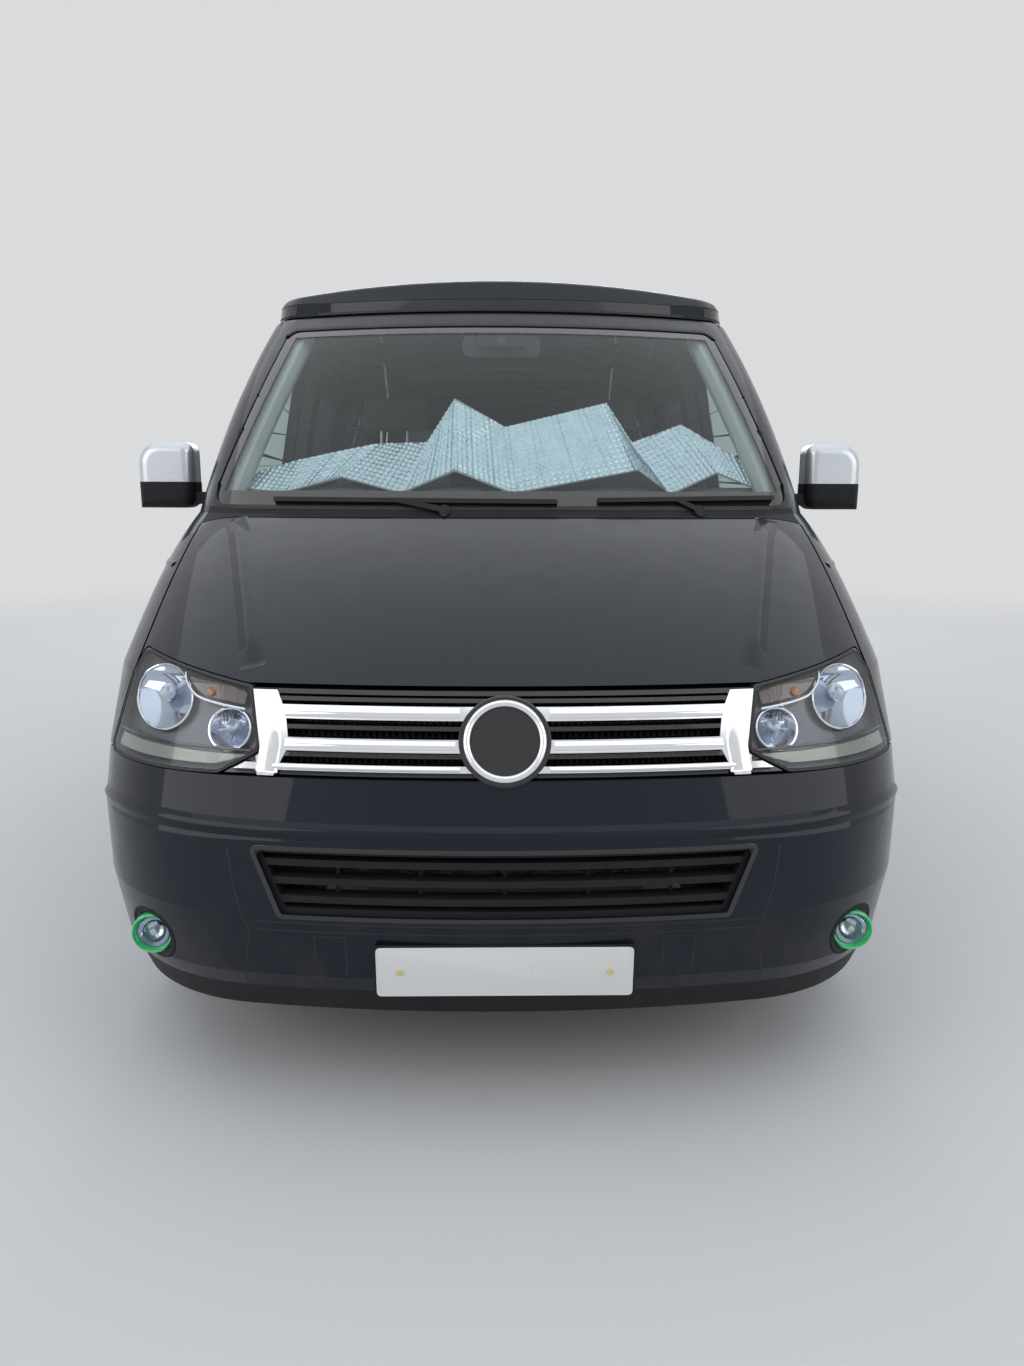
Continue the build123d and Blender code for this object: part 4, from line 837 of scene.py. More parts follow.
FOG_X, FOG_S, FOG_Z = 0.755, 0.156, 0.376
FOG_PARTS = (
    ("bowl", "reflector", 40,
        [(0, 0.036), (0.012, 0.034), (0.026, 0.026), (0.036, 0.012), (0.0405, 0)]),
    ("ring", "green_ring", 40,
        [(0.035, 0.004), (0.036, -0.006), (0.041, -0.012), (0.0448, -0.008), (0.0455, 0.006)]),
    ("lens", "lens", 40,
        [(0, -0.012), (0.014, -0.011), (0.026, -0.008), (0.035, -0.003), (0.035, 0.003)]),
    ("bulb", "satin_silver", 24, [(0, -0.004), (0.007, -0.002), (0.009, 0.006), (0.006, 0.026)]),
)
for name, side in SIDES:
    for part, finish, steps, profile in FOG_PARTS:
        form = turned(profile, (side * FOG_X, at(FOG_S), FOG_Z), BACKWARDS, steps)
        make(f"fog_{part}_{name}", form, finish)
    rim = oval(side * FOG_X, FOG_Z, 0.058, 0.058, 56)
    bezel = band(rim, from_front, ("front_bumper", "fog_lamps"), 0.016, 0.004, CREASE, closed=True)
    make(f"fog_bezel_{name}", bezel, "black_plastic")

PLATE_WIDTH, PLATE_HEIGHT = 0.520, 0.111


def blank_plate(name, centre, out, body):
    """A plate with a pressed border and screw caps, and nothing on its face."""
    out = Vector(out).normalized()
    up = (Vector((0, 0, 1)) - out * out.z).normalized()
    side = up.cross(out)

    def outline(margin, radius):
        return oblong(PLATE_WIDTH + margin, PLATE_HEIGHT + margin, radius)

    def place(u, v, w=0.0):
        return Vector(centre) + side * u + up * v + out * w

    holder = drawn(outline(0.008, 0.012), 0.004, lambda u, v, w: place(u, v, w - 0.0045))
    make(f"{name}_holder", holder, "black_plastic", body, bevel=0.001)
    plate = drawn(outline(0, 0.011), 0.0015, place)
    make(f"{name}_plate", plate, "plate_white", body, bevel=0.0005)
    rim = swept([place(u, v, 0.0015) for u, v in outline(-0.006, 0.009)], 0.0008, sides=6, closed=True)
    make(f"{name}_rim", rim, "plate_white", body)
    cap = [(0, 0.0045), (0.006, 0.0040), (0.0075, 0.0015), (0.0075, 0)]
    caps = [turned(cap, place(PLATE_WIDTH * k, 0, 0.0012), out, 20) for k in (-0.41, 0.41)]
    make(f"{name}_caps", gather(*caps), "screw_cap", body)


blank_plate("front", (0, at(0.0115), 0.3555), (0, -1, -0.09), "body")

# Bonnet creases, from the windscreen's corners to the lamps

CREASE_LINE = (
    (0.742, 0.930), (0.715, 0.86), (0.672, 0.72), (0.632, 0.58), (0.590, 0.44), (0.562, 0.34), (0.540, 0.262),
)
creases = []
for _, side in SIDES:
    line = run([(side * x, s) for x, s in CREASE_LINE])
    creases.append(band(line, from_above, ("bonnet",), 0.070, 0.0105, CREASE, fade=0.12))
make("bonnet_creases", gather(*creases), "paint", "bonnet")

# Mirrors: black lower shells and glass

MIRROR_GLASS = rounded([(0.992, 1.276), (1.132, 1.276), (1.132, 1.442), (0.992, 1.442)], 0.024)
for name, side in SIDES:
    below = [plane(2, 1.336, -1)]
    shell = cover(f"mirror_{name}", below, 0.0014, lambda f: f.calc_center_median().y < at(1.4235))
    make(f"mirror_base_{name}", shell, "black_plastic", f"front_door_{name}")
    glass = drawn(MIRROR_GLASS, 0.003, lambda u, v, w: Vector((side * u, at(1.4225) + w, v)))
    make(f"mirror_glass_{name}", glass, "mirror", f"front_door_{name}", bevel=0.0008)

# Windscreen: the folded quilted blind, the sensor patch, seals, and the trim round it

BLIND_LOW = (
    (-0.770, 1.150, 1.316), (-0.643, 1.084, 1.303), (-0.487, 1.215, 1.350), (-0.295, 1.084, 1.303),
    (-0.143, 1.215, 1.370), (0.032, 1.084, 1.303), (0.418, 1.215, 1.374), (0.498, 1.084, 1.303),
    (0.655, 1.200, 1.366), (0.775, 1.165, 1.316),
)
BLIND_HIGH = (
    (-0.740, 1.210, 1.362), (-0.608, 1.250, 1.403), (-0.392, 1.350, 1.454), (-0.228, 1.275, 1.454),
    (-0.147, 1.350, 1.592), (0.010, 1.265, 1.500), (0.332, 1.365, 1.582), (0.397, 1.265, 1.453),
    (0.567, 1.345, 1.515), (0.772, 1.235, 1.382),
)
QUILT_CELL, QUILT_DEPTH = 0.020, 0.0055
BLIND_GRID = 0.0042
BLIND_SETBACK = 0.0032


def blind():
    """A folded sheet with a pillow in each quilted cell: its form, flat size and long edges."""
    low = [Vector((x, at(s), z)) for x, s, z in BLIND_LOW]
    high = [Vector((x, at(s), z)) for x, s, z in BLIND_HIGH]
    columns = []
    length = 0.0
    for k in range(len(low) - 1):
        span = ((low[k + 1] - low[k]).length + (high[k + 1] - high[k]).length) / 2
        count = max(2, round(span / BLIND_GRID))
        for j in range(count + (k == len(low) - 2)):
            t = j / count
            columns.append((low[k].lerp(low[k + 1], t), high[k].lerp(high[k + 1], t), length + span * t))
        length += span
    height = sum((a - b).length for a, b, _ in columns) / len(columns)
    rows = round(height / BLIND_GRID)
    verts = []
    for k, (a, b, place) in enumerate(columns):
        before = columns[max(k - 1, 0)]
        after = columns[min(k + 1, len(columns) - 1)]
        for j in range(rows + 1):
            t = j / rows
            along = (after[0].lerp(after[1], t) - before[0].lerp(before[1], t)).normalized()
            out = along.cross((b - a).normalized()).normalized()
            out = -out if out.y > 0 else out
            up = t * (a - b).length
            cell = abs(math.sin(math.pi * place / QUILT_CELL) * math.sin(math.pi * up / QUILT_CELL))
            middle = a.lerp(b, t) + Vector((0, BLIND_SETBACK, 0))
            verts.append(middle + out * (QUILT_DEPTH * cell**0.5))
    form = verts, lattice(len(columns), rows + 1, round_columns=False)
    return form, (length, height), [c[0] for c in columns], [c[1] for c in columns]


form, blind_size, low_edge, high_edge = blind()
sheet = make("blind_sheet", form, "foil")
ring = [p + Vector((0, 0.0034, 0)) for p in low_edge[::3] + high_edge[::-3]]
hem = make("blind_hem", swept(ring, 0.0032, sides=6, closed=True), "hem")
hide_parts("windscreen_blind")

SCREEN = [
    (-SCREEN_HALF_BASE, SCREEN_BASE), (SCREEN_HALF_BASE, SCREEN_BASE),
    (SCREEN_HALF_TOP, SCREEN_TOP), (-SCREEN_HALF_TOP, SCREEN_TOP),
]
ROUND_SCREEN = (
    "windscreen", "cowl", "roof_panel", "side_panel_left", "side_panel_right", "body_frame_left",
    "body_frame_right", "front_wing_left", "front_wing_right",
)
make("windscreen_seal", border(SCREEN, 0.050, from_front, ROUND_SCREEN, 0.016, 0.0016), "rubber")


def inside_screen(x, z, depth):
    hit = from_front(x, z, "windscreen")
    return None if hit is None else hit[0] + Vector((0, depth, 0))


patch = []
for outline, depth in ((oblong(0.150, 0.075, 0.012), 0.020), (oblong(0.056, 0.052, 0.02), 0.032)):
    base = [inside_screen(u, 1.792 + v, 0.008) for u, v in outline]
    top = [p + Vector((0, depth, 0)) for p in base]
    patch.append((base + top, lids(2, len(base)) + lattice(2, len(base))))
make("screen_sensor", gather(*patch), "black_plastic", bevel=0.002)

TRIM_SECTION = ((-0.022, -0.03), (0.022, -0.03), (0.03, 0), (0.016, 0.03), (-0.016, 0.03), (-0.03, 0))
SCREEN_LEAN = (SCREEN_HALF_BASE - SCREEN_HALF_TOP) / (SCREEN_TOP - SCREEN_BASE)
trims = []
for _, side in SIDES:
    heights = [1.285 + 0.53 * k / 12 for k in range(13)]
    edge = [(SCREEN_HALF_BASE - SCREEN_LEAN * (z - SCREEN_BASE) - 0.052, z) for z in heights]
    found = [inside_screen(side * x, z, 0.075) for x, z in edge]
    line = [p for p in found if p is not None]
    trims.append(swept(curve(line, 3), section=TRIM_SECTION))
make("pillar_trims", gather(*trims), "pale_trim", bevel=0.004)

# Wheels: tyres with tread blocks and sidewall rings, bolts and plain caps

WHEEL_X = 0.814
AXLES = (("front", 0.894), ("rear", 3.894))
TYRE_R = 0.345
SIDEWALL = (
    (0.096, 0.2165), (0.104, 0.221), (0.1065, 0.23), (0.111, 0.24), (0.112, 0.2415), (0.1135, 0.245),
    (0.115, 0.256), (0.1166, 0.27), (0.1172, 0.285), (0.116, 0.299), (0.1166, 0.3), (0.1164, 0.303),
    (0.115, 0.3045), (0.112, 0.315), (0.109, 0.3235), (0.103, 0.331), (0.096, 0.3365), (0.088, 0.34),
)
TREAD = (
    (0.0860, 0), (0.0700, 0), (0.0560, 0), (0.0552, 1), (0.0488, 1), (0.0480, 0), (0.0350, 0), (0.0212, 0),
    (0.0204, 1), (0.0136, 1), (0.0128, 0), (0.0, 0),
)
TREAD_DEPTH = 0.0070
TYRE_STEPS = 252
# Steps from one block to the next, how many of them a gap takes, and where shoulders and middle rib end
BLOCK, GAP = 7, 2
SHOULDER, RIB = 0.057, 0.012
TREAD_HALF = 0.086
BOLTS, BOLT_CIRCLE = 5, 0.056
BOLT = ((0, 0.016), (0.006, 0.016), (0.0085, 0.0135), (0.0085, 0.002), (0.0115, 0.0), (0.0115, -0.004))
HUB_CAP = ((0, 0.0785), (0.018, 0.0782), (0.0285, 0.0765), (0.0315, 0.0735), (0.0325, 0.0690))
RIM_EDGE = ((0.2050, 0.0900), (0.2085, 0.0950), (0.2135, 0.0958), (0.2158, 0.0940), (0.2158, 0.0905))


def tyre_form(x, s):
    """Rings of points round the axle; the tread's blocks are cut by their place round the wheel."""
    half = [(u, r, 0, 0) for u, r in SIDEWALL]
    half += [(u, 0.3440 - 0.0035 * (u / TREAD_HALF) ** 2, g, 1) for u, g in TREAD]
    whole = half + [(-u, r, g, t) for u, r, g, t in reversed(half[:-1])]
    whole += [(-0.092, 0.222, 0, 0), (0.092, 0.222, 0, 0)]
    verts = []
    for k in range(TYRE_STEPS):
        for u, r, groove, tread in whole:
            shift = 0 if abs(u) > 0.05 else (2 if u > 0 else 4)
            phase = (k + shift) % BLOCK
            gap = phase < GAP if abs(u) > SHOULDER else phase == 0 and abs(u) > RIB
            deep = r
            if groove or tread and gap:
                deep = r - TREAD_DEPTH * (1.0 if groove else 0.72)
            elif not tread and 0.318 < r < 0.3405 and phase < GAP:
                deep = r - 0.0022
            skew = 0.5 * abs(u) / TREAD_HALF if tread else 0
            t = 2 * math.pi * (k + skew) / TYRE_STEPS
            verts.append(Vector((x + u, at(s) + deep * math.cos(t), TYRE_R + deep * math.sin(t))))
    return verts, lattice(TYRE_STEPS, len(whole), round_rows=True)


for end, s in AXLES:
    for name, side in SIDES:
        wheel = f"{end}_{name}"
        body = f"wheel_{wheel}"
        tyre = make(f"tyre_tread_{wheel}", tyre_form(side * WHEEL_X, s), "tyre", body, smooth=28)
        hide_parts(f"tyre_{wheel}")
        centre = Vector((side * WHEEL_X, at(s), TYRE_R))
        out = Vector((side, 0, 0))
        bolts = []
        for k in range(BOLTS):
            t = 2 * math.pi * (k + 0.5) / BOLTS
            place = centre + out * 0.062 + Vector((0, math.cos(t), math.sin(t))) * BOLT_CIRCLE
            bolts.append(turned(BOLT, place, out, 6))
        make(f"wheel_bolts_{wheel}", gather(*bolts), "satin_silver", body)
        make(f"wheel_cap_{wheel}", turned(HUB_CAP, centre, out, 40), "satin_silver", body)
        make(f"rim_edge_{wheel}", turned(RIM_EDGE, centre, out, 96), "alloy", body)
        stem = [centre + out * u + Vector((0, 0, v)) for u, v in ((0.080, 0.192), (0.098, 0.186))]
        make(f"wheel_valve_{wheel}", swept(stem, 0.004), "rubber", body)

# Seats and bench: crowned cushions with seams and piping

ROUNDNESS = 5.0
PINCH = 0.012
CHANNEL_DEPTH, CHANNEL_WIDTH = 0.009, 0.008
CABIN_FLOOR = 0.520


def pinched(p, half):
    """X and Y of a cushion's place from -1 to 1, with its sides pulled in between the corners."""
    x, y = p[0], p[1]
    return x * (half[0] - PINCH * (1 - y**4) * abs(x)), y * (half[1] - PINCH * (1 - x**4) * abs(y))


def pillow(size, place, crown, seams, cuts=22):
    """A closed cushion: round edges, a crowned face and sewn channels."""
    half = [v / 2 for v in size]
    made = bmesh.new()
    bmesh.ops.create_cube(made, size=2.0)
    bmesh.ops.subdivide_edges(made, edges=made.edges[:], cuts=cuts, use_grid_fill=True)
    for v in made.verts:
        p = v.co / sum(abs(c) ** ROUNDNESS for c in v.co) ** (1 / ROUNDNESS)
        z = p.z * half[2]
        if p.z > 0.2:
            z += crown * (1 - p.x**2) * (1 - p.y**2)
            for axis, middle in seams:
                off = (p[axis] - middle) * half[axis] / CHANNEL_WIDTH
                z -= CHANNEL_DEPTH * math.exp(-off * off)
            z += 0.0012 * math.sin(31 * p.x + 7 * p.y) * math.cos(23 * p.y - 5 * p.x)
        v.co = place @ Vector((*pinched(p, half), z))
    made.verts.index_update()
    form = [v.co.copy() for v in made.verts], [tuple(v.index for v in f.verts) for f in made.faces]
    made.free()
    return form


def piping(size, place, level=0.42, steps=96):
    """The sewn cord round a cushion's upper edge."""
    half = [v / 2 for v in size]
    reach = (1 - level**ROUNDNESS) ** (1 / ROUNDNESS)
    line = []
    for k in range(steps):
        t = 2 * math.pi * k / steps
        c, d = math.cos(t), math.sin(t)
        r = (abs(c) ** ROUNDNESS + abs(d) ** ROUNDNESS) ** (1 / ROUNDNESS) / reach
        line.append(place @ Vector((*pinched((c / r, d / r), half), level * half[2])))
    return swept(line, 0.0035, sides=6, closed=True)


def cushion(name, size, place, seams, crown):
    piece = make(name, pillow(size, place, crown, seams), "seat_fabric", smooth=60)
    make(f"{name}_piping", piping(size, place), "piping")
    return piece


def leaned(x, s, z, angle, upright=True):
    """A frame whose Z is a cushion's face: up for a seat, forward for a back that leans."""
    move = Matrix.Translation(Vector((x, at(s), z)))
    return move @ Matrix.Rotation(math.radians(90 - angle if upright else -angle), 4, "X")


def on_floor(u, v, w):
    return Vector((u, v, CABIN_FLOOR + w))


# A seam's axis and its place across the cushion, from -1 to 1
SEAT_SEAMS = ((0, -0.52), (0, 0.52), (1, -0.05), (1, 0.45))
BACK_SEAMS = ((0, -0.55), (0, 0.55), (1, 0.2), (1, -0.35))
SEAT_PARTS = (
    ("squab", (0.500, 0.490, 0.118), (1.840, 0.892, 3, False), SEAT_SEAMS, 0.006),
    ("back", (0.480, 0.610, 0.098), (2.166, 1.205, 12.5), BACK_SEAMS, 0.004),
    ("headrest", (0.270, 0.150, 0.072), (2.276, 1.611, 8), (), 0.002),
)
BENCH_PARTS = (
    ("seat", (0.528, 0.560, 0.160), (3.485, 0.850, 0, False), SEAT_SEAMS[:2], 0.0),
    ("back", (0.528, 0.500, 0.132), (3.710, 1.190, 0), BACK_SEAMS[:2], 0.0),
)
made_seats = []
for name, side in SIDES:
    x = side * 0.430
    for part, size, place, seams, crown in SEAT_PARTS:
        made_seats.append(cushion(f"seat_{part}_{name}", size, leaned(x, *place), seams, crown))
    base = drawn([(x + u, at(1.850) + v) for u, v in oblong(0.420, 0.420, 0.03)], 0.312, on_floor)
    made_seats.append(make(f"seat_base_{name}", base, "black_plastic", bevel=0.006))
    posts = [swept([(x + u, at(2.240), 1.480), (x + u, at(2.262), 1.580)], 0.006) for u in (-0.052, 0.052)]
    made_seats.append(make(f"seat_posts_{name}", gather(*posts), "satin_silver"))
for piece in made_seats:
    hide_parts("front_seats")

made_bench = []
for k, x in enumerate((-0.155, 0.375), 1):
    for part, size, place, seams, crown in BENCH_PARTS:
        made_bench.append(cushion(f"bench_{part}_{k}", size, leaned(x, *place), seams, crown))
corners = [(-0.420, at(3.205)), (0.640, at(3.205)), (0.640, at(3.755)), (-0.420, at(3.755))]
made_bench.append(make("bench_box", drawn(corners, 0.250, on_floor), "wood", bevel=0.004))
pull = curve([(0.02, at(3.199), 0.66), (0.05, at(3.2), 0.65), (0.17, at(3.2), 0.65), (0.20, at(3.199), 0.66)])
make("bench_pull", swept(pull, 0.004), "black_plastic")
for piece in made_bench:
    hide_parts("rear_bench")

# Cupboard fronts and knobs

fronts = []
for s0, s1 in ((2.44, 2.80), (2.82, 3.17)):
    for z0, z1 in ((0.58, 0.80), (0.82, 1.03)):
        points = rounded([(s0, z0), (s1, z0), (s1, z1), (s0, z1)], 0.012)
        fronts.append(drawn(points, 0.010, lambda u, v, w: Vector((-0.4395 + w, at(u), v))))
make("cupboard_fronts", gather(*fronts), "pale_trim", slot="wood", bevel=0.0015)
KNOB = ((0, 0.022), (0.010, 0.021), (0.013, 0.016), (0.009, 0.010), (0.009, 0))
knobs = [turned(KNOB, (-0.4295, at(s), z), (1, 0, 0), 24) for s in (2.76, 2.86) for z in (0.765, 0.86)]
make("cupboard_knobs", gather(*knobs), "satin_silver")

# Dashboard: hood over the dials, vents, centre panel, inside mirror and steering hub

DIAL_FACING = (0, 1, 0.35)
hood = []
for k in range(19):
    t = math.pi * k / 18
    hood.append((-0.430 - 0.165 * math.cos(t), 1.255 + 0.075 * math.sin(t) ** 0.7))
rows = ((1.235, 0.0), (1.330, 0.010), (1.372, 0.004))
verts = [Vector((x, at(s), z + lift)) for s, lift in rows for x, z in hood]
form = verts, lattice(3, 19, round_columns=False)
make("dial_hood", form, "trim_grey", solid=0.006, bevel=0.0015)
dials = []
for x, r in ((-0.505, 0.046), (-0.355, 0.046), (-0.430, 0.024)):
    for profile in ([(r, 0.0), (r + 0.004, 0.006), (r + 0.006, 0.0)], [(0, 0.001), (r, 0.0)]):
        dials.append(turned(profile, (x, at(1.352), 1.275), DIAL_FACING, 40))
make("dials", gather(*dials), "gloss_black")


def on_console(u, v, w):
    return Vector((u, at(1.3985 - 0.13 * abs(v - 1.09)) + w, v))


console = rounded([(-0.145, 0.985), (0.145, 0.985), (0.155, 1.25), (-0.155, 1.25)], 0.02)
make("centre_panel", drawn(console, 0.010, on_console), "gloss_black", bevel=0.002)
vents = []
for x in (-0.70, -0.085, 0.085, 0.70):
    for z in (1.185 + k * 0.012 for k in range(5)):
        vents.append(boxed((x - 0.055, at(1.394), z), (x + 0.055, at(1.412), z + 0.003)))
make("dash_vents", gather(*vents), "black_plastic")
inner_glass = drawn(oblong(0.226, 0.05, 0.014), 0.0015, lambda u, v, w: (u, at(1.4965) + w, 1.768 + v))
make("inside_mirror_glass", inner_glass, "mirror")
STEERING_TILT = math.radians(38)
HUB_PAD = ((0, 0.020), (0.030, 0.019), (0.052, 0.012), (0.062, -0.002), (0.064, -0.020))
column = Vector((0, math.cos(STEERING_TILT), math.sin(STEERING_TILT)))
hub = turned(HUB_PAD, Vector((-0.430, at(1.500), 1.170)), column, 48)
make("steering_hub_pad", hub, "black_plastic", "steering_wheel")

# Raising roof: side lip, groove, ribs, and the folded fabric wall

POP = ("pop_top",)


def lid_edge(face):
    """The faces that stand upright round the lid."""
    c = face.calc_center_median()
    return abs(face.normal.z) < 0.6 and (abs(c.x) > 0.70 or c.y < at(1.66) or c.y > at(4.43))


def round_lid(z, width, height):
    """A band round the lid's front and sides at one height."""
    forms = [band([(x / 100, z) for x in range(-62, 63, 2)], from_front, POP, width, height)]
    for _, side in SIDES:
        line = [(s / 100, z) for s in range(172, 440, 4)]
        forms.append(band(line, from_side(side), POP, width, height))
    return gather(*forms)


lip = cover("pop_top", [plane(2, 1.898, 1), plane(2, 1.930, -1)], 0.0012, lid_edge)
make("roof_lid_lip", lip, "gloss_black", "pop_top")
make("roof_lid_groove", round_lid(1.934, 0.006, 0.0014), "rubber", "pop_top")
ribs = []
for x in (-0.56, -0.28, 0.28, 0.56):
    ribs.append(strip([(x, 1.78), (x, 4.38)], from_above, POP, 0.045, 0.0035, CREASE))
make("roof_lid_ribs", gather(*ribs), "paint", "pop_top")
make("roof_seal", round_lid(1.8960, 0.009, 0.0016), "rubber", "pop_top")

WALL_LOW, WALL_HIGH = 1.8868, 1.9372
WALL_ROWS = 25
FOLD_DEPTH, RIPPLE = 0.014, 0.0015
WALL_CENTRE = Vector((0, 3.010))


def bellows():
    """A folded wall round the roof's opening, from the roof to the lid."""
    outline = dense(rounded([(-0.524, 1.936), (0.524, 1.936), (0.524, 4.084), (-0.524, 4.084)], 0.05), 0.02)
    verts = []
    n = len(outline)
    for j in range(WALL_ROWS):
        t = j / (WALL_ROWS - 1)
        fold = FOLD_DEPTH * math.cos(math.pi * t * 6)
        for k, (x, s) in enumerate(outline):
            before, after = outline[k - 1], outline[(k + 1) % n]
            out = Vector((after[1] - before[1], before[0] - after[0])).normalized()
            if out.dot(Vector((x, s)) - WALL_CENTRE) < 0:
                out = -out
            far = fold + RIPPLE * math.sin(k * 0.9 + j * 0.35)
            z = WALL_LOW + (WALL_HIGH - WALL_LOW) * t
            verts.append(Vector((x + out.x * far, at(s + out.y * far), z)))
    return verts, lattice(WALL_ROWS, n)


fabric = make("roof_fabric_wall", bellows(), "roof_fabric", None, smooth=60)
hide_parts("roof_bellows")
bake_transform(fabric)

# Sides: window seals, handles, locks, repeaters, waist lines and rub strips

DOOR_WINDOW = [(1.425, 1.204), (1.425, 1.436), (1.725, 1.738), (2.235, 1.738), (2.235, 1.190)]
MIDDLE_WINDOW = [(2.387, 1.190), (2.387, 1.738), (3.284, 1.738), (3.284, 1.190)]
QUARTER_WINDOW = [(3.452, 1.190), (3.452, 1.738), (4.560, 1.738), (4.618, 1.190)]
# How far a handle's bar stands out along its length
HANDLE = ((-0.085, 0.004), (-0.070, 0.020), (-0.030, 0.029), (0.030, 0.029), (0.070, 0.020), (0.085, 0.004))
# Height, width, lift, section, finish, and each stretch's panel, start and end
SIDE_LINES = {
    "waist_line": (
        1.118, 0.030, 0.004, CREASE, "paint",
        (("door", 1.335, 2.285), ("middle", 2.315, 3.360), ("rear", 3.385, 4.700), ("wing", 0.62, 1.295)),
    ),
    "rub_strip": (
        0.560, 0.048, 0.008, FLAT, "black_plastic",
        (("door", 1.345, 2.275), ("middle", 2.325, 3.350), ("rear", 3.395, 3.47), ("rear", 4.33, 4.62)),
    ),
}


def dome(centre, normal, ru, rv, edge, rise, steps, step):
    """An oval face on a side; its middle rises from its edge, or sinks where rise is below zero."""

    def place(u, v):
        crown = max(0, 1 - (u / ru) ** 2 - (v / rv) ** 2)
        return centre + Vector((0, u, v)) + normal * (edge + rise * crown)

    return filled(oval(0, 0, ru, rv, steps), place, step)


for name, side in SIDES:
    cast = from_side(side)
    door = f"front_door_{name}"
    panels = {
        "door": door,
        "middle": "sliding_door" if side > 0 else "side_panel_right",
        "rear": f"side_panel_{name}",
        "wing": f"front_wing_{name}",
    }
    seals = []
    for outline, panel, glass in (
        (DOOR_WINDOW, door, f"door_glass_{name}"),
        (MIDDLE_WINDOW, panels["middle"], "side_windows"),
        (QUARTER_WINDOW, panels["rear"], "side_windows"),
    ):
        seals.append(border(outline, 0.045, cast, (panel, glass), 0.013, 0.0022))
    make(f"door_window_seal_{name}", seals[0], "rubber", door)
    make(f"side_window_seals_{name}", gather(*seals[1:]), "rubber")
    handles = [(2.190, door, door)] + [(2.430, "sliding_door", "body")] * (side > 0)
    for k, (s, node, body) in enumerate(handles, 1):
        base, normal = cast(s, 1.050, node)
        cup = dome(base, normal, 0.062, 0.034, 0.0035, -0.0030, 40, 0.012)
        make(f"handle_cup_{name}_{k}", cup, "black_plastic", body, solid=0.002)
        line = curve([base + Vector((side * out, u, 0.004)) for u, out in HANDLE], 5)
        bar = swept(line, section=oblong(0.011, 0.024, 0.004))
        make(f"handle_bar_{name}_{k}", bar, "paint", body, bevel=0.0015)
    lock = turned([(0, 0.003), (0.008, 0.0028), (0.010, 0.0)], *cast(2.255, 1.020, door), 24)
    make(f"lock_{name}", lock, "satin_silver", door)
    lamp = dome(*cast(1.235, 0.985, panels["wing"]), 0.030, 0.014, 0.002, 0.006, 32, 0.006)
    make(f"side_repeater_{name}", lamp, "amber", solid=0.002)
    for part, (z, width, lift, section, finish, stretches) in SIDE_LINES.items():
        for k, (panel, s0, s1) in enumerate(stretches, 1):
            form = strip([(s0, z), (s1, z)], cast, (panels[panel],), width, lift, section)
            make(f"{part}_{name}_{k}", form, finish, door if panel == "door" else "body")

# The slider's rail on the left, the fuel flap on the right, and the roof's gutters

RAIL_START, RAIL_END, RAIL_Z = 3.395, 4.60, 1.085


def rail_band(rise, *shape):
    points = [(RAIL_START, RAIL_Z + rise), (RAIL_END, RAIL_Z + rise)]
    return strip(points, from_side(1), ("side_panel_left",), *shape)


# Painted shade: a flat dark band stands in for the shade inside the rail's channel.
make("slider_rail_groove", rail_band(0, 0.034, 0.0015), "rubber")
make("slider_rail_lips", gather(*(rail_band(rise, 0.007, 0.006) for rise in (0.015, -0.015))), "satin_silver")
FLAP = [(2.36, 0.78), (2.56, 0.78), (2.56, 0.97), (2.36, 0.97)]
flap = border(FLAP, 0.03, from_side(-1), ("side_panel_right",), 0.004, 0.0006, 0.02)
make("fuel_flap_seam", flap, "rubber")
place = from_side(-1)(2.545, 0.875, "side_panel_right")
catch = turned([(0, 0.0025), (0.009, 0.002), (0.011, 0)], *place, 24)
make("fuel_flap_catch", catch, "black_plastic")

ROOF_EDGE = ("roof_panel", "side_panel_left", "side_panel_right")
gutters = []
for x in (0.752, -0.752):
    gutters.append(strip([(x, 1.70), (x, 4.58)], from_above, ROOF_EDGE, 0.012, 0.0012, step=0.05))
make("roof_gutters", gather(*gutters), "rubber")

# Rear: window seal, wiper, handle strip, blank plate, lamp sections and reflectors

GATE = ("tailgate", "tailgate_glass")
GATE_WINDOW = [(-0.642, 1.190), (0.642, 1.190), (0.598, 1.708), (-0.598, 1.708)]
REAR_BUMPER = ("rear_bumper",)


def off_gate(x, z, lift):
    """A place behind the tailgate, its lift clear of it."""
    return from_rear(x, z, *GATE)[0] + Vector((0, lift, 0))


make("tailgate_seal", border(GATE_WINDOW, 0.050, from_rear, GATE, 0.014, 0.0022), "rubber", "tailgate")
motor, _ = from_rear(0.0, 1.150, "tailgate")
hub = turned([(0, 0.030), (0.014, 0.028), (0.020, 0.018), (0.024, 0)], motor, BACKWARDS, 28)
make("rear_wiper_hub", hub, "black_plastic", "tailgate")
arm = [off_gate(*p) for p in ((0.0, 1.150, 0.022), (-0.10, 1.190, 0.020), (-0.24, 1.236, 0.016))]
blade = [off_gate(x / 100, 1.222 + 0.00045 * (x + 24), 0.008) for x in range(-44, -3, 4)]
wiper = gather(
    swept(curve(arm, 5), section=oblong(0.014, 0.007, 0.002)),
    swept(blade, section=oblong(0.010, 0.012, 0.002)),
)
make("rear_wiper", wiper, "black_plastic", "tailgate")
handle = strip([(-0.33, 0.985), (0.33, 0.985)], from_rear, ("tailgate",), 0.060, 0.012, CREASE)
make("gate_handle_strip", handle, "paint", "tailgate")
recess = from_rear(0.0, 0.865, "tailgate")[0]
blank_plate("rear", (0, recess.y + 0.004, 0.870), (0, 1, 0.02), "tailgate")

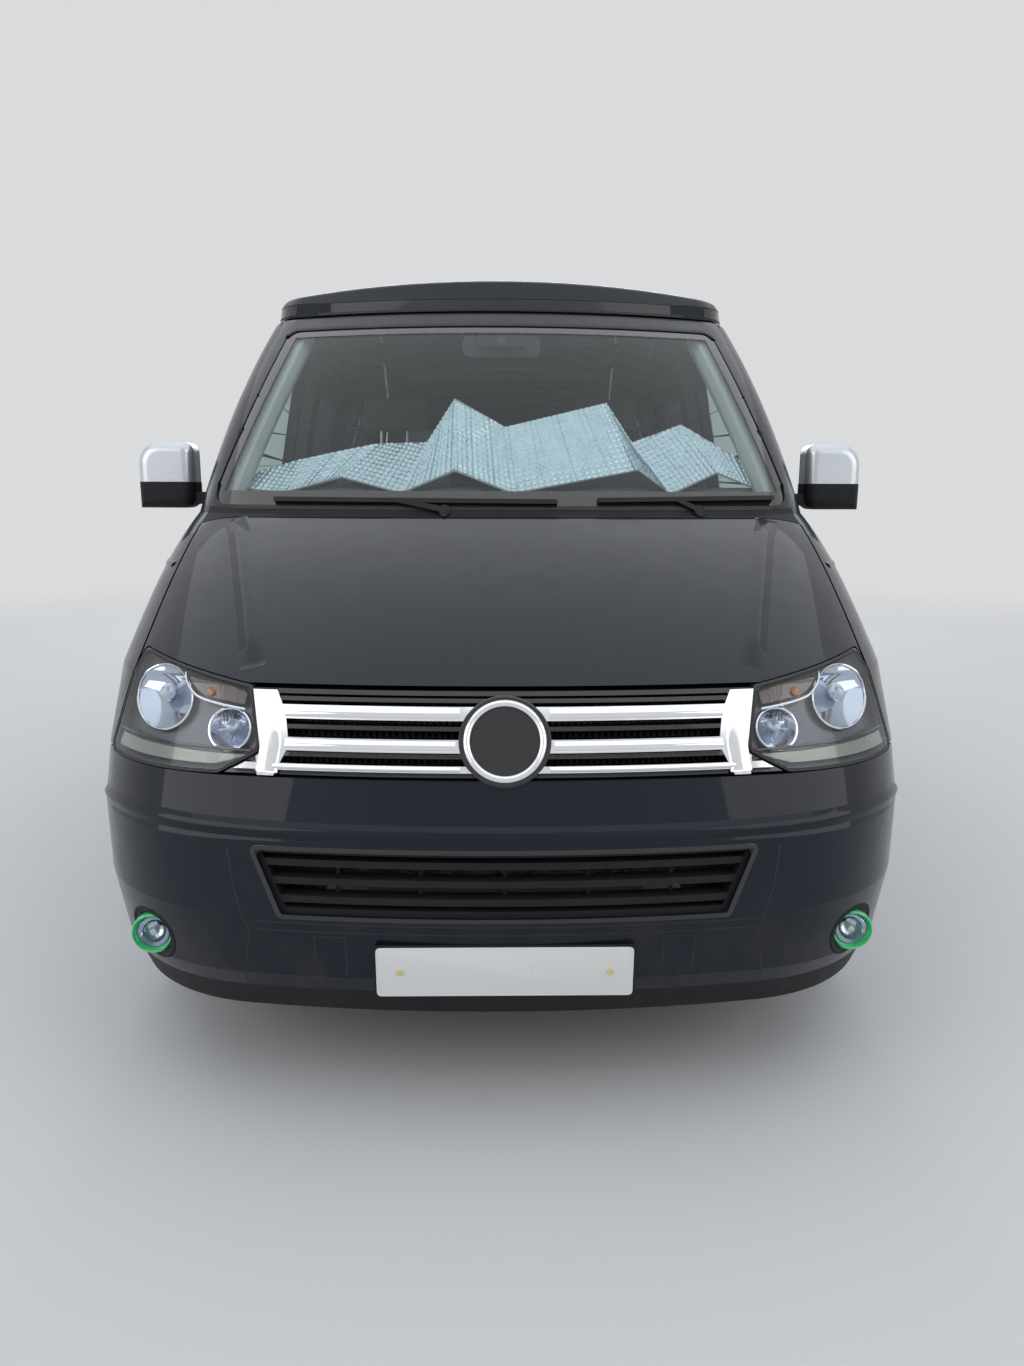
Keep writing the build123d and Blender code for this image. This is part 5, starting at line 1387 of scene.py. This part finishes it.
TAIL_LAMPS = (
    ("brake", 1.085, 1.246, "lamp_red"),
    ("turn", 1.000, 1.082, "amber"),
    ("reverse", 0.930, 0.997, "clear_lens"),
    ("fog", 0.854, 0.927, "lamp_red"),
)
for name, side in SIDES:
    for part, z0, z1, finish in TAIL_LAMPS:
        form = cover(
            "tail_lamps",
            [plane(2, z0, 1), plane(2, z1, -1), plane(0, 0, side)],
            0.0008,
            lambda f: f.normal.y > 0.15 or f.normal.x * side > 0.6,
        )
        make(f"tail_{part}_{name}", form, finish)
    ends = [(side * 0.60, 0.420), (side * 0.74, 0.420)]
    form = strip(ends, from_rear, REAR_BUMPER, 0.034, 0.004, step=0.02)
    make(f"rear_reflector_{name}", form, "lamp_red")
ledge = strip([(-0.62, 0.505), (0.62, 0.505)], from_rear, REAR_BUMPER, 0.022, 0.0035, CREASE)
make("rear_bumper_ledge", ledge, "paint")

# Floor and light

FLOOR_TONE = (0.66, 0.66, 0.66)
BACKDROP = (0.70, 0.71, 0.72)
FLOOR_RADIUS = 60
FADE_START, FADE_END = 3.2, 11.0
# Place, target, size, power and colour
LIGHTS = {
    "overhead": ((0, 0.0, 9.5), (0, 0, 0), (18, 18), 620, (0.92, 0.96, 1.0)),
    "front_left": ((-7.0, -7.0, 4.2), (0, -1.0, 0.9), (8, 6), 260, (1, 1, 1)),
    "front_right": ((7.0, -6.5, 4.0), (0, -1.0, 0.9), (8, 6), 210, (1, 1, 1)),
    "behind": ((0.0, 7.5, 4.5), (0, 1.0, 1.0), (5, 3), 170, (1, 1, 1)),
}


def set_floor():
    bpy.ops.mesh.primitive_circle_add(vertices=96, radius=FLOOR_RADIUS, fill_type="NGON", location=(0, 0, 0))
    floor = bpy.context.object
    floor.name = "floor"
    f = Finish("studio_floor", FLOOR_TONE, 0.9)
    glow = f.node("ShaderNodeEmission", {0: BACKDROP}).outputs[0]
    away = f.node("ShaderNodeVectorMath", {0: f.coords}, operation="LENGTH").outputs["Value"]
    far = f.math("MULTIPLY", f.seen(), f.map(away, FADE_START, FADE_END, kind="SMOOTHSTEP"))
    f.feed(f.out, f.join(far, f.bsdf.outputs[0], glow))
    floor.data.materials.append(f.mat)


def set_world():
    """Soft light from the sky, and a plain backdrop wherever the world itself shows."""
    world = bpy.data.worlds.new("studio")
    scene.world = world
    world.use_nodes = True
    g = Graph(world.node_tree)
    height = g.axis("Z", g.node("ShaderNodeTexCoord").outputs["Generated"])
    sky = {0: (0.80, 0.86, 0.95), 1: g.map(height, -0.05, 0.9, 0.16, 0.62)}
    lit = g.node("ShaderNodeBackground", sky).outputs[0]
    shown = g.node("ShaderNodeBackground", {0: BACKDROP, 1: 1.0}).outputs[0]
    g.feed(world.node_tree.nodes["World Output"].inputs[0], g.join(g.seen(), lit, shown))


def set_light(name, place, target, size, power, colour):
    data = bpy.data.lights.new(name, "AREA")
    data.shape = "RECTANGLE"
    data.size, data.size_y = size
    data.energy = power
    data.color = colour
    lamp = bpy.data.objects.new(name, data)
    lamp.location = place
    lamp.rotation_euler = (Vector(target) - Vector(place)).to_track_quat("-Z", "Y").to_euler()
    scene.collection.objects.link(lamp)


set_floor()
set_world()
for name, light in LIGHTS.items():
    set_light(name, *light)

scene.view_settings.view_transform = "Standard"
